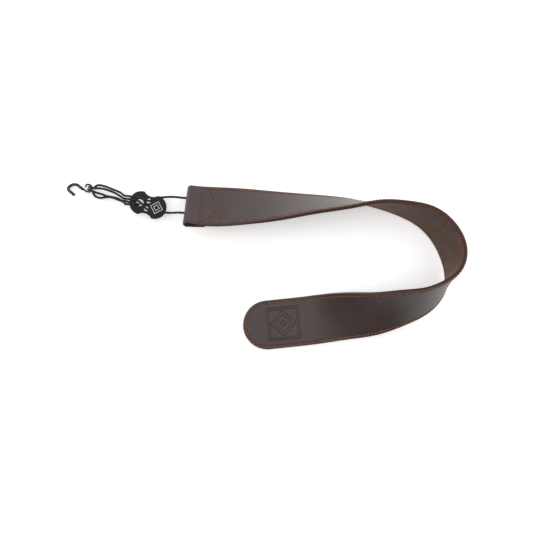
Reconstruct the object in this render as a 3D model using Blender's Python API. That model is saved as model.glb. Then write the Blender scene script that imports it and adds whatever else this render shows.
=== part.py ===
"""A sewn leather carrying strap with an adjustable cord and a coated hook.

The strap lies as it was put down: flat on its round tail, standing on one edge
through the bend, and leaning where its folded end holds the cord.  All sizes
are in metres, +Z is up, and the origin is the centre of the tail's round end,
on the surface that the strap lies on.
"""
import math

import bmesh
import bpy
import numpy as np
from mathutils import Matrix, Vector

# ---------------------------------------------------------------- clearances
GAP = 0.0003                    # between pieces that touch

# --------------------------------------------------------------------- strap
STRAP_WIDTH = 0.050
FACE_THICKNESS = 0.0016         # grain leather, outside
LINING_THICKNESS = 0.0016       # suede leather, inside
STATION_STEP = 0.009            # distance between cross sections
TAIL_STEPS = 7                  # cross sections in the tail's quarter round
TAIL_FLAT = 0.030               # length of tail that lies quite flat before its round
TAIL_SETTLE = 0.030             # length over which the strap comes down to that
MIDDLE_SHARES = (-0.4, 0.0, 0.4)  # points between the seams, as shares of half a width

# Where the strap's middle runs: x, y, height of its lower edge, and its lean
# in degrees (0 lies flat with the grain up, 90 stands on its lower edge).
ROUTE = (
    (-0.0821, 0.1216, 0.0042, 38),
    (-0.0525, 0.1201, 0.0038, 36),
    (-0.0227, 0.1200, 0.0030, 42),
    (0.0118, 0.1204, 0.0020, 53),
    (0.0463, 0.1220, 0.0015, 65),
    (0.0809, 0.1228, 0.0011, 76),
    (0.1103, 0.1219, 0.0009, 90),
    (0.1342, 0.1174, 0.0010, 98),
    (0.1560, 0.1095, 0.0011, 105),
    (0.1732, 0.0943, 0.0013, 107),
    (0.1825, 0.0748, 0.0028, 103),
    (0.1822, 0.0553, 0.0060, 88),
    (0.1719, 0.0388, 0.0100, 69),
    (0.1559, 0.0272, 0.0130, 56),
    (0.1327, 0.0197, 0.0132, 43),
    (0.1049, 0.0130, 0.0100, 28),
    (0.0778, 0.0098, 0.0048, 15),
    (0.0457, 0.0050, 0.00185, 1),
    (0.0230, 0.0024, 0.00175, 0),
    (0.0, 0.0, 0.00175, 0),
)

# ---------------------------------------------------------------------- fold
FOLD_LENGTH = 0.0165            # from the strap's end to the stitched bar
FOLD_PLAY = 0.0022              # room round the cord inside the fold, for its splice
FOLD_ARC_STEPS = 12
LINING_TUCK = 0.002             # the lining runs this far past the bar
TAB_STRAIGHT = 0.0035           # full width of the turned-under tab past the bar
TAB_ROUND = 0.0135              # the tab's half-moon end past that
TAB_STEPS = 7
CORD_HOLE_SPREAD = 0.0102       # each cord hole from the strap's middle

# ------------------------------------------------------------------ stitches
THREAD_DIAMETER = 0.0007
STITCH_INSET = 0.003            # seams from the leather's edges
GROOVE_DEPTH = 0.00095
GROOVE_FLOOR = 0.0010           # width of the groove's floor
GROOVE_MOUTH = 0.0016           # width of the groove at the surface
RIM_SEAM_START = 0.003          # the rim seam begins this far past the bar
BOBBIN_SEAM_START = 0.0135      # under the strap it begins past the tab

# ---------------------------------------------------------------------- cord
CORD_DIAMETER = 0.0024
CORD_HOLE_DIAMETER = 0.0034     # punched through the fold
CORD_STEP = 0.0025              # distance between points along a cord
SPLICE_LENGTH = 0.008
SPLICE_WALL = 0.0005
CORD_BESIDE = CORD_DIAMETER + 0.0004          # from one cord to the next beside it
FOLD_BORE = CORD_DIAMETER + FOLD_PLAY

# -------------------------------------------------------------- slider plate
SLIDER_CENTRE = (-0.1211, 0.1223, 0.0100)
SLIDER_TURN = math.radians(-17.5)
SLIDER_THICKNESS = 0.0025
LOBE_SPACING = 0.0142
LOBE_RADIUS = 0.0120
WAIST_WIDTH = 0.0180
SLIDER_EDGE = 0.0004            # chamfer round the plate
LOBE_REACH = LOBE_SPACING / 2 + LOBE_RADIUS   # from the plate's middle to its tip
ANCHOR_HOLE = (-0.0084, 0.0, CORD_DIAMETER + SLIDER_THICKNESS / 2)  # along, across, radius
UPPER_HOLE = (-0.0005, 0.0042, 0.0025)
LOWER_HOLE = (-0.0005, -0.0042, 0.0025)
EMBLEM_CENTRE = (0.0093, 0.0)
EMBLEM_REACH = 0.0068
EMBLEM_LINE = 0.0011
EMBLEM_THICKNESS = 0.0004

# ---------------------------------------------------------------------- hook
EYE_BAR = (-0.1808, 0.1394, 0.0036)           # middle of the eye's cord bar
EYE_TURN = math.atan2(-0.294, 0.956)          # from the bar towards the slider
EYE_LENGTH = 0.0058             # between the middles of the eye's wires
EYE_WIDTH = 2 * CORD_DIAMETER + 0.0026        # two cords side by side, and the wires
EYE_CORNER = 0.0020
WIRE_DIAMETER = 0.0018
SLEEVE_DIAMETER = 0.0029
SLEEVE_SIDES = 10
HOOK_LIE = 0.0017               # height of the sleeve's middle near the tip
HOOK_STEP = 0.0012              # distance between points along the hook

MATERIALS = {
    "grain_leather": ((0.060, 0.046, 0.042), 0.45, 0.0),
    "suede_leather": ((0.105, 0.072, 0.058), 0.95, 0.0),
    "thread": ((0.30, 0.105, 0.055), 0.70, 0.0),
    "cord": ((0.012, 0.011, 0.020), 0.75, 0.0),
    "slider_plastic": ((0.018, 0.018, 0.017), 0.55, 0.0),
    "silver_print": ((0.62, 0.60, 0.54), 0.35, 0.6),
    "hook_coating": ((0.012, 0.013, 0.012), 0.40, 0.0),
    "black_wire": ((0.020, 0.021, 0.020), 0.35, 0.7),
    "splice_metal": ((0.45, 0.44, 0.42), 0.35, 0.9),
}


def clear_scene():
    """Remove everything that a new file starts with."""
    for thing in list(bpy.data.objects):
        bpy.data.objects.remove(thing, do_unlink=True)


def material(name):
    """The named material, made the first time it is asked for."""
    found = bpy.data.materials.get(name)
    if found:
        return found
    colour, roughness, metallic = MATERIALS[name]
    made = bpy.data.materials.new(name)
    made.use_nodes = True
    shader = made.node_tree.nodes["Principled BSDF"]
    shader.inputs["Base Color"].default_value = (*colour, 1.0)
    shader.inputs["Roughness"].default_value = roughness
    shader.inputs["Metallic"].default_value = metallic
    made.diffuse_color = (*colour, 1.0)
    return made


def add_object(name, data, finish, parent=None):
    """Put data into the scene as an object with one material."""
    thing = bpy.data.objects.new(name, data)
    bpy.context.collection.objects.link(thing)
    thing.data.materials.append(material(finish))
    if parent:
        thing.parent = parent
    return thing


def pivot(name, place):
    """An empty on a joint's axis, which carries the pieces that move with it."""
    empty = bpy.data.objects.new(name, None)
    empty.location = place
    bpy.context.collection.objects.link(empty)
    return empty


def mesh_object(name, bm, finish, parent=None, sharp=35):
    """Turn a bmesh into an object with its faces pointing out."""
    bmesh.ops.recalc_face_normals(bm, faces=bm.faces)
    mesh = bpy.data.meshes.new(name)
    bm.to_mesh(mesh)
    bm.free()
    mesh.shade_smooth()
    mesh.set_sharp_from_angle(angle=math.radians(sharp))
    if parent:
        mesh.transform(parent_inverse(parent))
    return add_object(name, mesh, finish, parent)


def parent_inverse(parent):
    """The shift that keeps a piece in its place under its pivot."""
    return Matrix.Translation(-parent.location)


# ------------------------------------------------------------- smooth curves
def smooth_curve(points):
    """A natural cubic spline through points: returns a function of distance
    along the chords, and the whole distance."""
    points = np.array(points, float)
    knots = np.zeros(len(points))
    knots[1:] = np.cumsum(np.linalg.norm(np.diff(points[:, :3], axis=0), axis=1))
    steps = np.diff(knots)
    count = len(points)
    system = np.eye(count)
    right = np.zeros_like(points)
    for i in range(1, count - 1):
        system[i, i - 1:i + 2] = (steps[i - 1], 2 * (steps[i - 1] + steps[i]), steps[i])
        slope_after = (points[i + 1] - points[i]) / steps[i]
        slope_before = (points[i] - points[i - 1]) / steps[i - 1]
        right[i] = 6 * (slope_after - slope_before)
    bends = np.linalg.solve(system, right)

    def at(distance):
        i = int(np.clip(np.searchsorted(knots, distance) - 1, 0, count - 2))
        h = steps[i]
        before = knots[i + 1] - distance
        after = distance - knots[i]
        curve = (bends[i] * before ** 3 + bends[i + 1] * after ** 3) / (6 * h)
        line = (points[i] / h - bends[i] * h / 6) * before
        return curve + line + (points[i + 1] / h - bends[i + 1] * h / 6) * after

    return at, knots[-1]


def even_points(points, step):
    """Points a step apart along the smooth curve through a route."""
    at, whole = smooth_curve(points)
    fine = np.array([at(d) for d in np.linspace(0, whole, 40 * len(points))])
    run = np.zeros(len(fine))
    run[1:] = np.cumsum(np.linalg.norm(np.diff(fine, axis=0), axis=1))
    count = max(3, round(run[-1] / step) + 1)
    wanted = np.linspace(0, run[-1], count)
    return [Vector([np.interp(d, run, fine[:, k]) for k in range(3)]) for d in wanted]


# --------------------------------------------------------------- strap frame
HALF_WIDTH = STRAP_WIDTH / 2
HALF_THICKNESS = (FACE_THICKNESS + GAP + LINING_THICKNESS) / 2


def strap_middle():
    """The strap's middle line with its lean, as x, y, z and lean."""
    return [(x, y, low + HALF_WIDTH * math.sin(math.radians(lean)), lean)
            for x, y, low, lean in ROUTE]


class StrapFrame:
    """Maps distance along the strap, distance across it and height off its
    middle surface to a place in the model."""

    def __init__(self):
        at, whole = smooth_curve([(x, y, z, lean * 0.001)
                                  for x, y, z, lean in strap_middle()])
        fine = np.array([at(d) for d in np.linspace(0, whole, 2000)])
        self.run = np.zeros(len(fine))
        self.run[1:] = np.cumsum(np.linalg.norm(np.diff(fine[:, :3], axis=0), axis=1))
        self.length = self.run[-1]
        settle = (self.length - TAIL_FLAT - self.run) / TAIL_SETTLE
        share = np.clip(settle, 0, 1) ** 2 * (3 - 2 * np.clip(settle, 0, 1))
        fine[:, 2] = HALF_THICKNESS + (fine[:, 2] - HALF_THICKNESS) * share
        fine[:, 3] = fine[:, 3] * share
        self.fine = fine

    def read(self, along):
        """Middle point and lean at a distance, carried on straight past the ends."""
        inside = min(max(along, 0.0), self.length)
        row = [np.interp(inside, self.run, self.fine[:, k]) for k in range(4)]
        point = Vector(row[:3]) + self.direction(inside) * (along - inside)
        return point, math.radians(row[3] * 1000)

    def direction(self, along):
        reach = 0.002
        low = min(max(along - reach, 0.0), self.length - 2 * reach)
        ends = [Vector([np.interp(d, self.run, self.fine[:, k]) for k in range(3)])
                for d in (low, low + 2 * reach)]
        return (ends[1] - ends[0]).normalized()

    def axes(self, along):
        """Along the strap, across it towards the lower edge, and off its grain."""
        inside = min(max(along, 0.0), self.length)
        forward = self.direction(inside)
        lean = self.read(inside)[1]
        level = Vector((forward.y, -forward.x, 0)).normalized()
        rise = level.cross(forward).normalized()
        across = -(level * math.cos(lean) + rise * math.sin(lean))
        return forward, across, forward.cross(across).normalized()

    def place(self, along, across, height):
        point = self.read(along)[0]
        _, side, off = self.axes(along)
        return point + side * across + off * height


FRAME = StrapFrame()
BAR = FOLD_LENGTH
TAIL_CENTRE = FRAME.length
FACE_TOP = HALF_THICKNESS
FACE_UNDER = GAP / 2
LINING_TOP = -GAP / 2
LINING_UNDER = -HALF_THICKNESS
TAB_TOP = LINING_UNDER - GAP
TAB_UNDER = TAB_TOP - FACE_THICKNESS


# ------------------------------------------------------------ leather layers
def outer_columns(grooved):
    """Places across the strap, with depths, of an outer surface's points: a
    stitch groove beside each edge and plain leather between."""
    depth = GROOVE_DEPTH if grooved else 0.0
    left = [(-HALF_WIDTH, 0.0),
            (-HALF_WIDTH + STITCH_INSET - GROOVE_MOUTH / 2, 0.0),
            (-HALF_WIDTH + STITCH_INSET - GROOVE_FLOOR / 2, depth),
            (-HALF_WIDTH + STITCH_INSET + GROOVE_FLOOR / 2, depth),
            (-HALF_WIDTH + STITCH_INSET + GROOVE_MOUTH / 2, 0.0)]
    middle = [(share * HALF_WIDTH, 0.0) for share in MIDDLE_SHARES]
    return left + middle + [(-across, level) for across, level in reversed(left)]


def inner_columns():
    """Places across the strap of a hidden surface's points."""
    return [share * HALF_WIDTH for share in (-1, *MIDDLE_SHARES, 1)]


def cross_row(along, out, under, grooved):
    """A straight cross section: the points of its outer surface, side to side,
    then those of its inner surface."""
    inward = 1 if out > under else -1
    outer = [FRAME.place(along, across, out - inward * depth)
             for across, depth in outer_columns(grooved)]
    inner = [FRAME.place(along, across, under) for across in inner_columns()]
    return outer, inner


def tail_row(angle, out, under):
    """A cross section of the round tail, bent to follow its outline."""
    inward = 1 if out > under else -1
    plain = HALF_WIDTH - STITCH_INSET - GROOVE_MOUTH / 2
    outer = []
    for across, depth in outer_columns(True):
        reach = max(abs(across), plain) * math.sin(angle)
        outer.append(FRAME.place(TAIL_CENTRE + reach, across * math.cos(angle),
                                 out - inward * depth))
    reach = HALF_WIDTH * math.sin(angle)
    inner = [FRAME.place(TAIL_CENTRE + reach, across * math.cos(angle), under)
             for across in inner_columns()]
    return outer, inner


def strap_stations(start):
    """Distances of the cross sections from start to where the tail rounds off."""
    count = math.ceil((TAIL_CENTRE - start) / STATION_STEP)
    return [start + (TAIL_CENTRE - start) * i / count for i in range(count + 1)]


def tail_angles():
    return [math.pi / 2 * i / TAIL_STEPS for i in range(1, TAIL_STEPS + 1)]


def fold_profile():
    """Middle of the folded leather, as (along, height, turn of its outer side),
    from the bar underneath, round the end, to the bar on top."""
    radius = FOLD_BORE / 2 + FACE_THICKNESS / 2
    centre_along = radius + FACE_THICKNESS / 2
    top = FACE_UNDER + FACE_THICKNESS / 2
    bottom = TAB_TOP - FACE_THICKNESS / 2
    centre_height = (top + bottom) / 2
    reach = math.hypot(BAR - centre_along, top - centre_height)
    first = math.atan2(top - centre_height, BAR - centre_along) + math.acos(radius / reach)
    points = []
    for i in range(FOLD_ARC_STEPS + 1):
        turn = -first - (2 * math.pi - 2 * first) * i / FOLD_ARC_STEPS
        points.append((centre_along + radius * math.cos(turn),
                       centre_height + radius * math.sin(turn), turn))
    return points, centre_along, centre_height


def fold_row(along, height, turn):
    """A cross section of the fold, square to the leather's own middle."""
    half = FACE_THICKNESS / 2
    out_along = along + half * math.cos(turn)
    out_height = height + half * math.sin(turn)
    in_along = along - half * math.cos(turn)
    in_height = height - half * math.sin(turn)
    outer = [FRAME.place(out_along, across, out_height) for across, _ in outer_columns(False)]
    inner = [FRAME.place(in_along, across, in_height) for across in inner_columns()]
    return outer, inner


def tab_outline():
    """Radius of the tab's half-moon end and where its centre lies along the strap."""
    radius = (HALF_WIDTH ** 2 + TAB_ROUND ** 2) / (2 * TAB_ROUND)
    centre = BAR + TAB_STRAIGHT + TAB_ROUND - radius
    return radius, centre


def tab_row(along, half):
    """A cross section of the turned-under tab, whose outer side faces down."""
    narrow = half / HALF_WIDTH
    outer = [FRAME.place(along, narrow * across, TAB_UNDER)
             for across, _ in outer_columns(False)]
    inner = [FRAME.place(along, narrow * across, TAB_TOP) for across in inner_columns()]
    return outer, inner


def tab_rows():
    """The tab from its tip back to the bar."""
    radius, centre = tab_outline()
    widest = math.asin(HALF_WIDTH / radius)
    rows = []
    for i in range(TAB_STEPS + 1):
        angle = widest * i / TAB_STEPS
        rows.append(tab_row(centre + radius * math.cos(angle), radius * math.sin(angle)))
    rows.append(tab_row(BAR, HALF_WIDTH))
    return rows


def layer_mesh(rows, capped_start):
    """Skin a list of cross sections into one closed leather layer.  Every cell is
    split the same way, so that layers which lie on each other stay parallel."""
    bm = bmesh.new()
    made = [([bm.verts.new(p) for p in outer], [bm.verts.new(p) for p in inner])
            for outer, inner in rows]
    for (outer_a, inner_a), (outer_b, inner_b) in zip(made, made[1:]):
        for one, two in ((outer_a, outer_b), (inner_a, inner_b),
                         ((outer_a[0], inner_a[0]), (outer_b[0], inner_b[0])),
                         ((outer_a[-1], inner_a[-1]), (outer_b[-1], inner_b[-1]))):
            for k in range(len(one) - 1):
                bm.faces.new((one[k], two[k], two[k + 1]))
                bm.faces.new((one[k], two[k + 1], one[k + 1]))
    if capped_start:
        outer, inner = made[0]
        bm.faces.new(outer + inner[::-1])
    bmesh.ops.remove_doubles(bm, verts=bm.verts, dist=1e-6)
    return bm


def face_rows():
    """The grain leather: tab, fold, strap and round tail."""
    rows = tab_rows()
    points, _, _ = fold_profile()
    rows += [fold_row(*point) for point in points]
    rows.append(cross_row(BAR, FACE_TOP, FACE_UNDER, False))
    groove_start = BAR + GROOVE_MOUTH
    rows += [cross_row(s, FACE_TOP, FACE_UNDER, True) for s in strap_stations(groove_start)]
    rows += [tail_row(angle, FACE_TOP, FACE_UNDER) for angle in tail_angles()]
    return rows


def lining_rows():
    """The suede leather inside, from just past the bar to the round tail."""
    stations = [BAR - LINING_TUCK, BAR] + strap_stations(BAR + GROOVE_MOUTH)
    rows = [cross_row(s, LINING_UNDER, LINING_TOP, True) for s in stations]
    rows += [tail_row(angle, LINING_UNDER, LINING_TOP) for angle in tail_angles()]
    return rows


def cord_hole_cutter(index, across, centre_height):
    """A punch through the fold's round end, along the strap."""
    start = FRAME.place(-FACE_THICKNESS, across, centre_height)
    end = FRAME.place(FACE_THICKNESS + FOLD_BORE / 2, across, centre_height)
    bm = bmesh.new()
    bmesh.ops.create_cone(bm, cap_ends=True, segments=12, radius1=CORD_HOLE_DIAMETER / 2,
                          radius2=CORD_HOLE_DIAMETER / 2, depth=(end - start).length)
    turn = (end - start).to_track_quat("Z", "Y").to_matrix().to_4x4()
    bmesh.ops.transform(bm, matrix=turn, verts=bm.verts)
    bmesh.ops.translate(bm, vec=(start + end) / 2, verts=bm.verts)
    cutter = mesh_object(f"cord_hole_punch_{index}", bm, "cord")
    hide_cutter(cutter)
    return cutter


def hide_cutter(cutter):
    cutter.hide_render = True
    cutter.display_type = "WIRE"


def cut(target, cutter):
    """Take a cutter's shape out of a piece."""
    boolean = target.modifiers.new("cut", "BOOLEAN")
    boolean.operation = "DIFFERENCE"
    boolean.solver = "EXACT"
    boolean.object = cutter


def build_leather():
    """The two leather layers, with the cord holes punched in the fold."""
    face = mesh_object("strap_face", layer_mesh(face_rows(), False), "grain_leather")
    mesh_object("strap_lining", layer_mesh(lining_rows(), True), "suede_leather")
    _, _, centre_height = fold_profile()
    for index, side in enumerate((1, -1)):
        cut(face, cord_hole_cutter(index, side * CORD_HOLE_SPREAD, centre_height))


# --------------------------------------------------------- threads and cords
def tube(name, points, diameter, finish, parent=None, sides_step=2):
    """A round cord or thread through the given points, with closed ends."""
    shift = parent.location if parent else Vector((0, 0, 0))
    curve = bpy.data.curves.new(name, "CURVE")
    curve.dimensions = "3D"
    curve.bevel_depth = diameter / 2
    curve.bevel_resolution = sides_step
    curve.use_fill_caps = True
    spline = curve.splines.new("POLY")
    spline.points.add(len(points) - 1)
    for slot, point in zip(spline.points, points):
        slot.co = (*(Vector(point) - shift), 1.0)
    return add_object(name, curve, finish, parent)


def rim_seam(start, height):
    """Points of the seam that follows the edge down one side, round the tail
    and back up the other."""
    across = HALF_WIDTH - STITCH_INSET
    down = [s for s in strap_stations(BAR + GROOVE_MOUTH) if s >= start]
    points = [FRAME.place(s, -across, height) for s in down]
    for angle in tail_angles():
        points.append(FRAME.place(TAIL_CENTRE + across * math.sin(angle),
                                  -across * math.cos(angle), height))
    for angle in reversed(tail_angles()[:-1]):
        points.append(FRAME.place(TAIL_CENTRE + across * math.sin(angle),
                                  across * math.cos(angle), height))
    return points + [FRAME.place(s, across, height) for s in reversed(down)]


def bar_seam(height):
    """Points of the straight seam across the strap that closes the fold."""
    across = HALF_WIDTH - STITCH_INSET - GROOVE_MOUTH
    return [FRAME.place(BAR, across * i / 4, height) for i in range(-4, 5)]


def half_moon_seam(height):
    """Points of the curved seam that holds the tab's round end."""
    radius, centre = tab_outline()
    radius -= STITCH_INSET
    widest = math.asin((HALF_WIDTH - STITCH_INSET - 2 * GROOVE_MOUTH) / radius)
    steps = 16
    angles = [widest * (2 * i / steps - 1) for i in range(steps + 1)]
    return [FRAME.place(centre + radius * math.cos(a), radius * math.sin(a), height)
            for a in angles]


def build_threads():
    """Six runs of thread: each seam has a top thread and a bobbin thread."""
    sunk = GROOVE_DEPTH - GAP - THREAD_DIAMETER / 2
    proud = GAP + THREAD_DIAMETER / 2
    seams = {
        "rim_top_thread": rim_seam(BAR + RIM_SEAM_START, FACE_TOP - sunk),
        "rim_bobbin_thread": rim_seam(BAR + BOBBIN_SEAM_START, LINING_UNDER + sunk),
        "bar_top_thread": bar_seam(FACE_TOP + proud),
        "bar_bobbin_thread": bar_seam(TAB_UNDER - proud),
        "arc_top_thread": half_moon_seam(FACE_TOP + proud),
        "arc_bobbin_thread": half_moon_seam(TAB_UNDER - proud),
    }
    for name, points in seams.items():
        tube(name, points, THREAD_DIAMETER, "thread", sides_step=1)


# -------------------------------------------------------------- slider plate
def on_slider(along, across, above_middle):
    """A place given along the plate's long axis, across it and above its middle."""
    x, y, z = SLIDER_CENTRE
    turn = SLIDER_TURN
    return Vector((x + along * math.cos(turn) - across * math.sin(turn),
                   y + along * math.sin(turn) + across * math.cos(turn),
                   z + above_middle))


def slider_outline(inset):
    """The plate's outline: two round lobes joined by two hollow sides."""
    lobe_at = LOBE_SPACING / 2
    dip = LOBE_RADIUS - WAIST_WIDTH / 2
    hollow = (lobe_at ** 2 + dip ** 2) / (2 * dip)
    half_sweep = math.asin(lobe_at / hollow)
    hollow_centre = LOBE_RADIUS - dip + hollow
    points = []
    lobe_steps = 14
    hollow_steps = 6
    for side in (1, -1):
        for i in range(lobe_steps + 1):
            angle = side * math.pi / 2 * (2 * i / lobe_steps - 1)
            points.append((side * (lobe_at + (LOBE_RADIUS - inset) * math.cos(angle)),
                           (LOBE_RADIUS - inset) * math.sin(angle)))
        for i in range(1, hollow_steps):
            angle = half_sweep * (1 - 2 * i / hollow_steps)
            points.append((side * (hollow + inset) * math.sin(angle),
                           side * (hollow_centre - (hollow + inset) * math.cos(angle))))
    return points


def build_slider(carrier):
    """The figure-of-eight plate with its three cord holes."""
    half = SLIDER_THICKNESS / 2
    levels = ((SLIDER_EDGE, -half), (0.0, SLIDER_EDGE - half),
              (0.0, half - SLIDER_EDGE), (SLIDER_EDGE, half))
    bm = bmesh.new()
    rings = [[bm.verts.new(on_slider(a, b, level)) for a, b in slider_outline(inset)]
             for inset, level in levels]
    for lower, upper in zip(rings, rings[1:]):
        for k in range(len(lower)):
            after = (k + 1) % len(lower)
            bm.faces.new((lower[k], lower[after], upper[after], upper[k]))
    bm.faces.new(rings[0])
    bm.faces.new(rings[-1])
    plate = mesh_object("slider_plate", bm, "slider_plastic", carrier)
    for name, (along, across, radius) in (("anchor", ANCHOR_HOLE), ("upper", UPPER_HOLE),
                                          ("lower", LOWER_HOLE)):
        bm = bmesh.new()
        bmesh.ops.create_cone(bm, cap_ends=True, segments=20, radius1=radius,
                              radius2=radius, depth=2 * SLIDER_THICKNESS)
        bmesh.ops.translate(bm, vec=on_slider(along, across, 0), verts=bm.verts)
        cutter = mesh_object(f"{name}_hole_drill", bm, "slider_plastic")
        hide_cutter(cutter)
        cut(plate, cutter)


def build_emblem(carrier):
    """A plain silver lozenge frame on the plate's right lobe."""
    base = SLIDER_THICKNESS / 2 + GAP
    along, across = EMBLEM_CENTRE
    bm = bmesh.new()
    rings = []
    for reach, level in ((EMBLEM_REACH, 0), (EMBLEM_REACH, EMBLEM_THICKNESS),
                         (EMBLEM_REACH - EMBLEM_LINE * math.sqrt(2), EMBLEM_THICKNESS),
                         (EMBLEM_REACH - EMBLEM_LINE * math.sqrt(2), 0)):
        corners = ((reach, 0), (0, reach), (-reach, 0), (0, -reach))
        rings.append([bm.verts.new(on_slider(along + a, across + b, base + level))
                      for a, b in corners])
    for lower, upper in zip(rings, rings[1:] + rings[:1]):
        for k in range(4):
            after = (k + 1) % 4
            bm.faces.new((lower[k], lower[after], upper[after], upper[k]))
    mesh_object("slider_emblem", bm, "silver_print", carrier)


# ---------------------------------------------------------------------- cord
CORD_RADIUS = CORD_DIAMETER / 2
OVER_PLATE = SLIDER_THICKNESS / 2 + GAP + CORD_RADIUS
CUT_SHARE = GAP / 2             # half of the gap where two runs of cord meet


def dive(hole, towards, down):
    """Points of a cord that turns through a plate hole: from flat on one side of
    the plate to the middle of the hole.  Towards is the side it comes from."""
    along, across, _ = hole
    level = -OVER_PLATE if down else OVER_PLATE
    way = (Vector(towards) - Vector((along, across))).normalized()
    out = []
    for distance, share in ((0.0030, 1.0), (0.0016, 0.95), (0.0005, 0.62)):
        out.append(on_slider(along + way.x * distance, across + way.y * distance,
                             level * share))
    out.append(on_slider(along, across, math.copysign(CUT_SHARE, level)))
    return out


def fold_turn(side):
    """Points of the cord from outside the fold, through its hole, to the middle
    of the fold.  Side is +1 at the lower edge's hole and -1 at the other."""
    _, centre_along, centre_height = fold_profile()
    hole = CORD_HOLE_SPREAD
    steps = ((-0.0030, hole), (-0.0008, hole), (0.0014, hole - 0.0001),
             (centre_along - 0.0008, hole - 0.0009), (centre_along - 0.0001, hole - 0.0024),
             (centre_along, hole - 0.0045))
    return [FRAME.place(along, side * across, centre_height) for along, across in steps]


# The cord from under the plate to the strap: first beside its upper hole, then
# beside its lower one.
UNDER_PLATE_LEVEL = SLIDER_CENTRE[2] - OVER_PLATE - 0.0001
LOBE_EDGE = on_slider(LOBE_SPACING / 2, 0, 0).x + LOBE_RADIUS
UPPER_RUN = ((-0.1140, 0.1290, 0.0074), (-0.1075, 0.1303, 0.0074),
             (LOBE_EDGE + 0.0023, 0.1307, 0.0086), (-0.0920, 0.1302, 0.0112))
LOWER_RUN = ((-0.1160, 0.1166, 0.0073), (-0.1090, 0.1153, 0.0073),
             (LOBE_EDGE + 0.0003, 0.1147, 0.0076), (-0.0950, 0.1139, 0.0155))


def kept_under(route):
    """The route with its points near the plate lowered to pass under it."""
    lobe = on_slider(LOBE_SPACING / 2, 0, 0)
    clear_of = LOBE_RADIUS + 2 * CORD_DIAMETER
    kept = []
    for x, y, z in route:
        near = math.hypot(x - lobe.x, y - lobe.y) < clear_of
        kept.append(Vector((x, y, min(z, UNDER_PLATE_LEVEL) if near else z)))
    return kept


def build_strap_loop():
    """The cord from the plate's upper hole, through the fold, to its lower hole."""
    upper_side = (0.010, 0.012)
    lower_side = (0.010, -0.003)
    route = list(reversed(dive(UPPER_HOLE, upper_side, True)))
    route += kept_under(UPPER_RUN)
    route += fold_turn(1)
    route += list(reversed(fold_turn(-1)))
    route += reversed(kept_under(LOWER_RUN))
    route += dive(LOWER_HOLE, lower_side, True)
    tube("cord_strap_loop", even_points(route, CORD_STEP), CORD_DIAMETER, "cord")


# Where the cord crosses the plate's near rim, as along and across the plate.
RIM_UPPER = (-LOBE_REACH - 0.0008, -0.0001 + CORD_BESIDE)
RIM_MIDDLE = (-LOBE_REACH - 0.0002, -0.0001)
RIM_LOWER = (-LOBE_REACH + 0.0004, -0.0001 - CORD_BESIDE)
RIM_UNDER = (-LOBE_REACH + 0.0007, -0.0047)
RIM_OUT = 0.0022                # cords are cut this far outside the rim points
# The next point of each of those cords on, or under, the plate.
UPPER_ON_PLATE = (-0.0128, 0.0012 + CORD_BESIDE)
MIDDLE_ON_PLATE = (-0.0130, 0.0011)
LOWER_ON_PLATE = (-0.0130, 0.0003 - CORD_BESIDE)
UNDER_PLATE = (-0.0135, -0.0034)


def past_rim(rim, toward, distance, level):
    """A point straight on from the rim, away from the plate."""
    way = (Vector(rim) - Vector(toward)).normalized() * distance
    return on_slider(rim[0] + way.x, rim[1] + way.y, level)


def build_plate_cords(carrier):
    """The runs of cord that cross the plate and the bight that holds its rim."""
    above = OVER_PLATE
    near_upper = (-0.0065, 0.0041)
    over_upper = [past_rim(RIM_UPPER, UPPER_ON_PLATE, RIM_OUT, above),
                  on_slider(*RIM_UPPER, above), on_slider(*UPPER_ON_PLATE, above),
                  on_slider(*near_upper, above)]
    over_upper += dive(UPPER_HOLE, near_upper, False)

    near_lower = (-0.0048, -0.0013)
    over_lower = [past_rim(RIM_MIDDLE, MIDDLE_ON_PLATE, RIM_OUT, above),
                  on_slider(*RIM_MIDDLE, above), on_slider(*MIDDLE_ON_PLATE, above),
                  on_slider(-0.0079, 0.0003, above), on_slider(*near_lower, above)]
    over_lower += dive(LOWER_HOLE, near_lower, False)

    bight = [past_rim(RIM_LOWER, LOWER_ON_PLATE, RIM_OUT, above),
             on_slider(*RIM_LOWER, above), on_slider(*LOWER_ON_PLATE, above),
             on_slider(-0.0110, 0.0004 - CORD_BESIDE, above),
             on_slider(-0.0095, 0.0007 - CORD_BESIDE, above * 0.65),
             on_slider(-0.0090, 0.0007 - CORD_BESIDE, 0.0),
             on_slider(-0.0095, 0.0006 - CORD_BESIDE, -above * 0.65),
             on_slider(-0.0110, -0.0025, -above), on_slider(*UNDER_PLATE, -above),
             on_slider(*RIM_UNDER, -above), past_rim(RIM_UNDER, UNDER_PLATE, RIM_OUT, -above)]

    runs = {"cord_over_upper": over_upper, "cord_over_lower": over_lower,
            "cord_rim_bight": bight}
    for name, route in runs.items():
        tube(name, even_points(route, CORD_STEP), CORD_DIAMETER, "cord", carrier)


# ---------------------------------------------------------------------- hook
def on_eye(forward, sideways, above):
    """A place given from the eye's bar: towards the slider, sideways and up."""
    x, y, z = EYE_BAR
    return Vector((x + forward * math.cos(EYE_TURN) - sideways * math.sin(EYE_TURN),
                   y + forward * math.sin(EYE_TURN) + sideways * math.cos(EYE_TURN),
                   z + above))


def eye_wrap(side, over_first):
    """Points of a cord round the eye's bar, beside the bar's middle."""
    radius = WIRE_DIAMETER / 2 + GAP + CORD_RADIUS
    beside = side * (CORD_RADIUS + GAP / 2)
    sign = 1 if over_first else -1
    points = []
    for degrees in (75, 105, 140, 180, 220, 255, 285):
        angle = math.radians(degrees)
        points.append(on_eye(radius * math.cos(angle), beside, sign * radius * math.sin(angle)))
    return points


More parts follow.
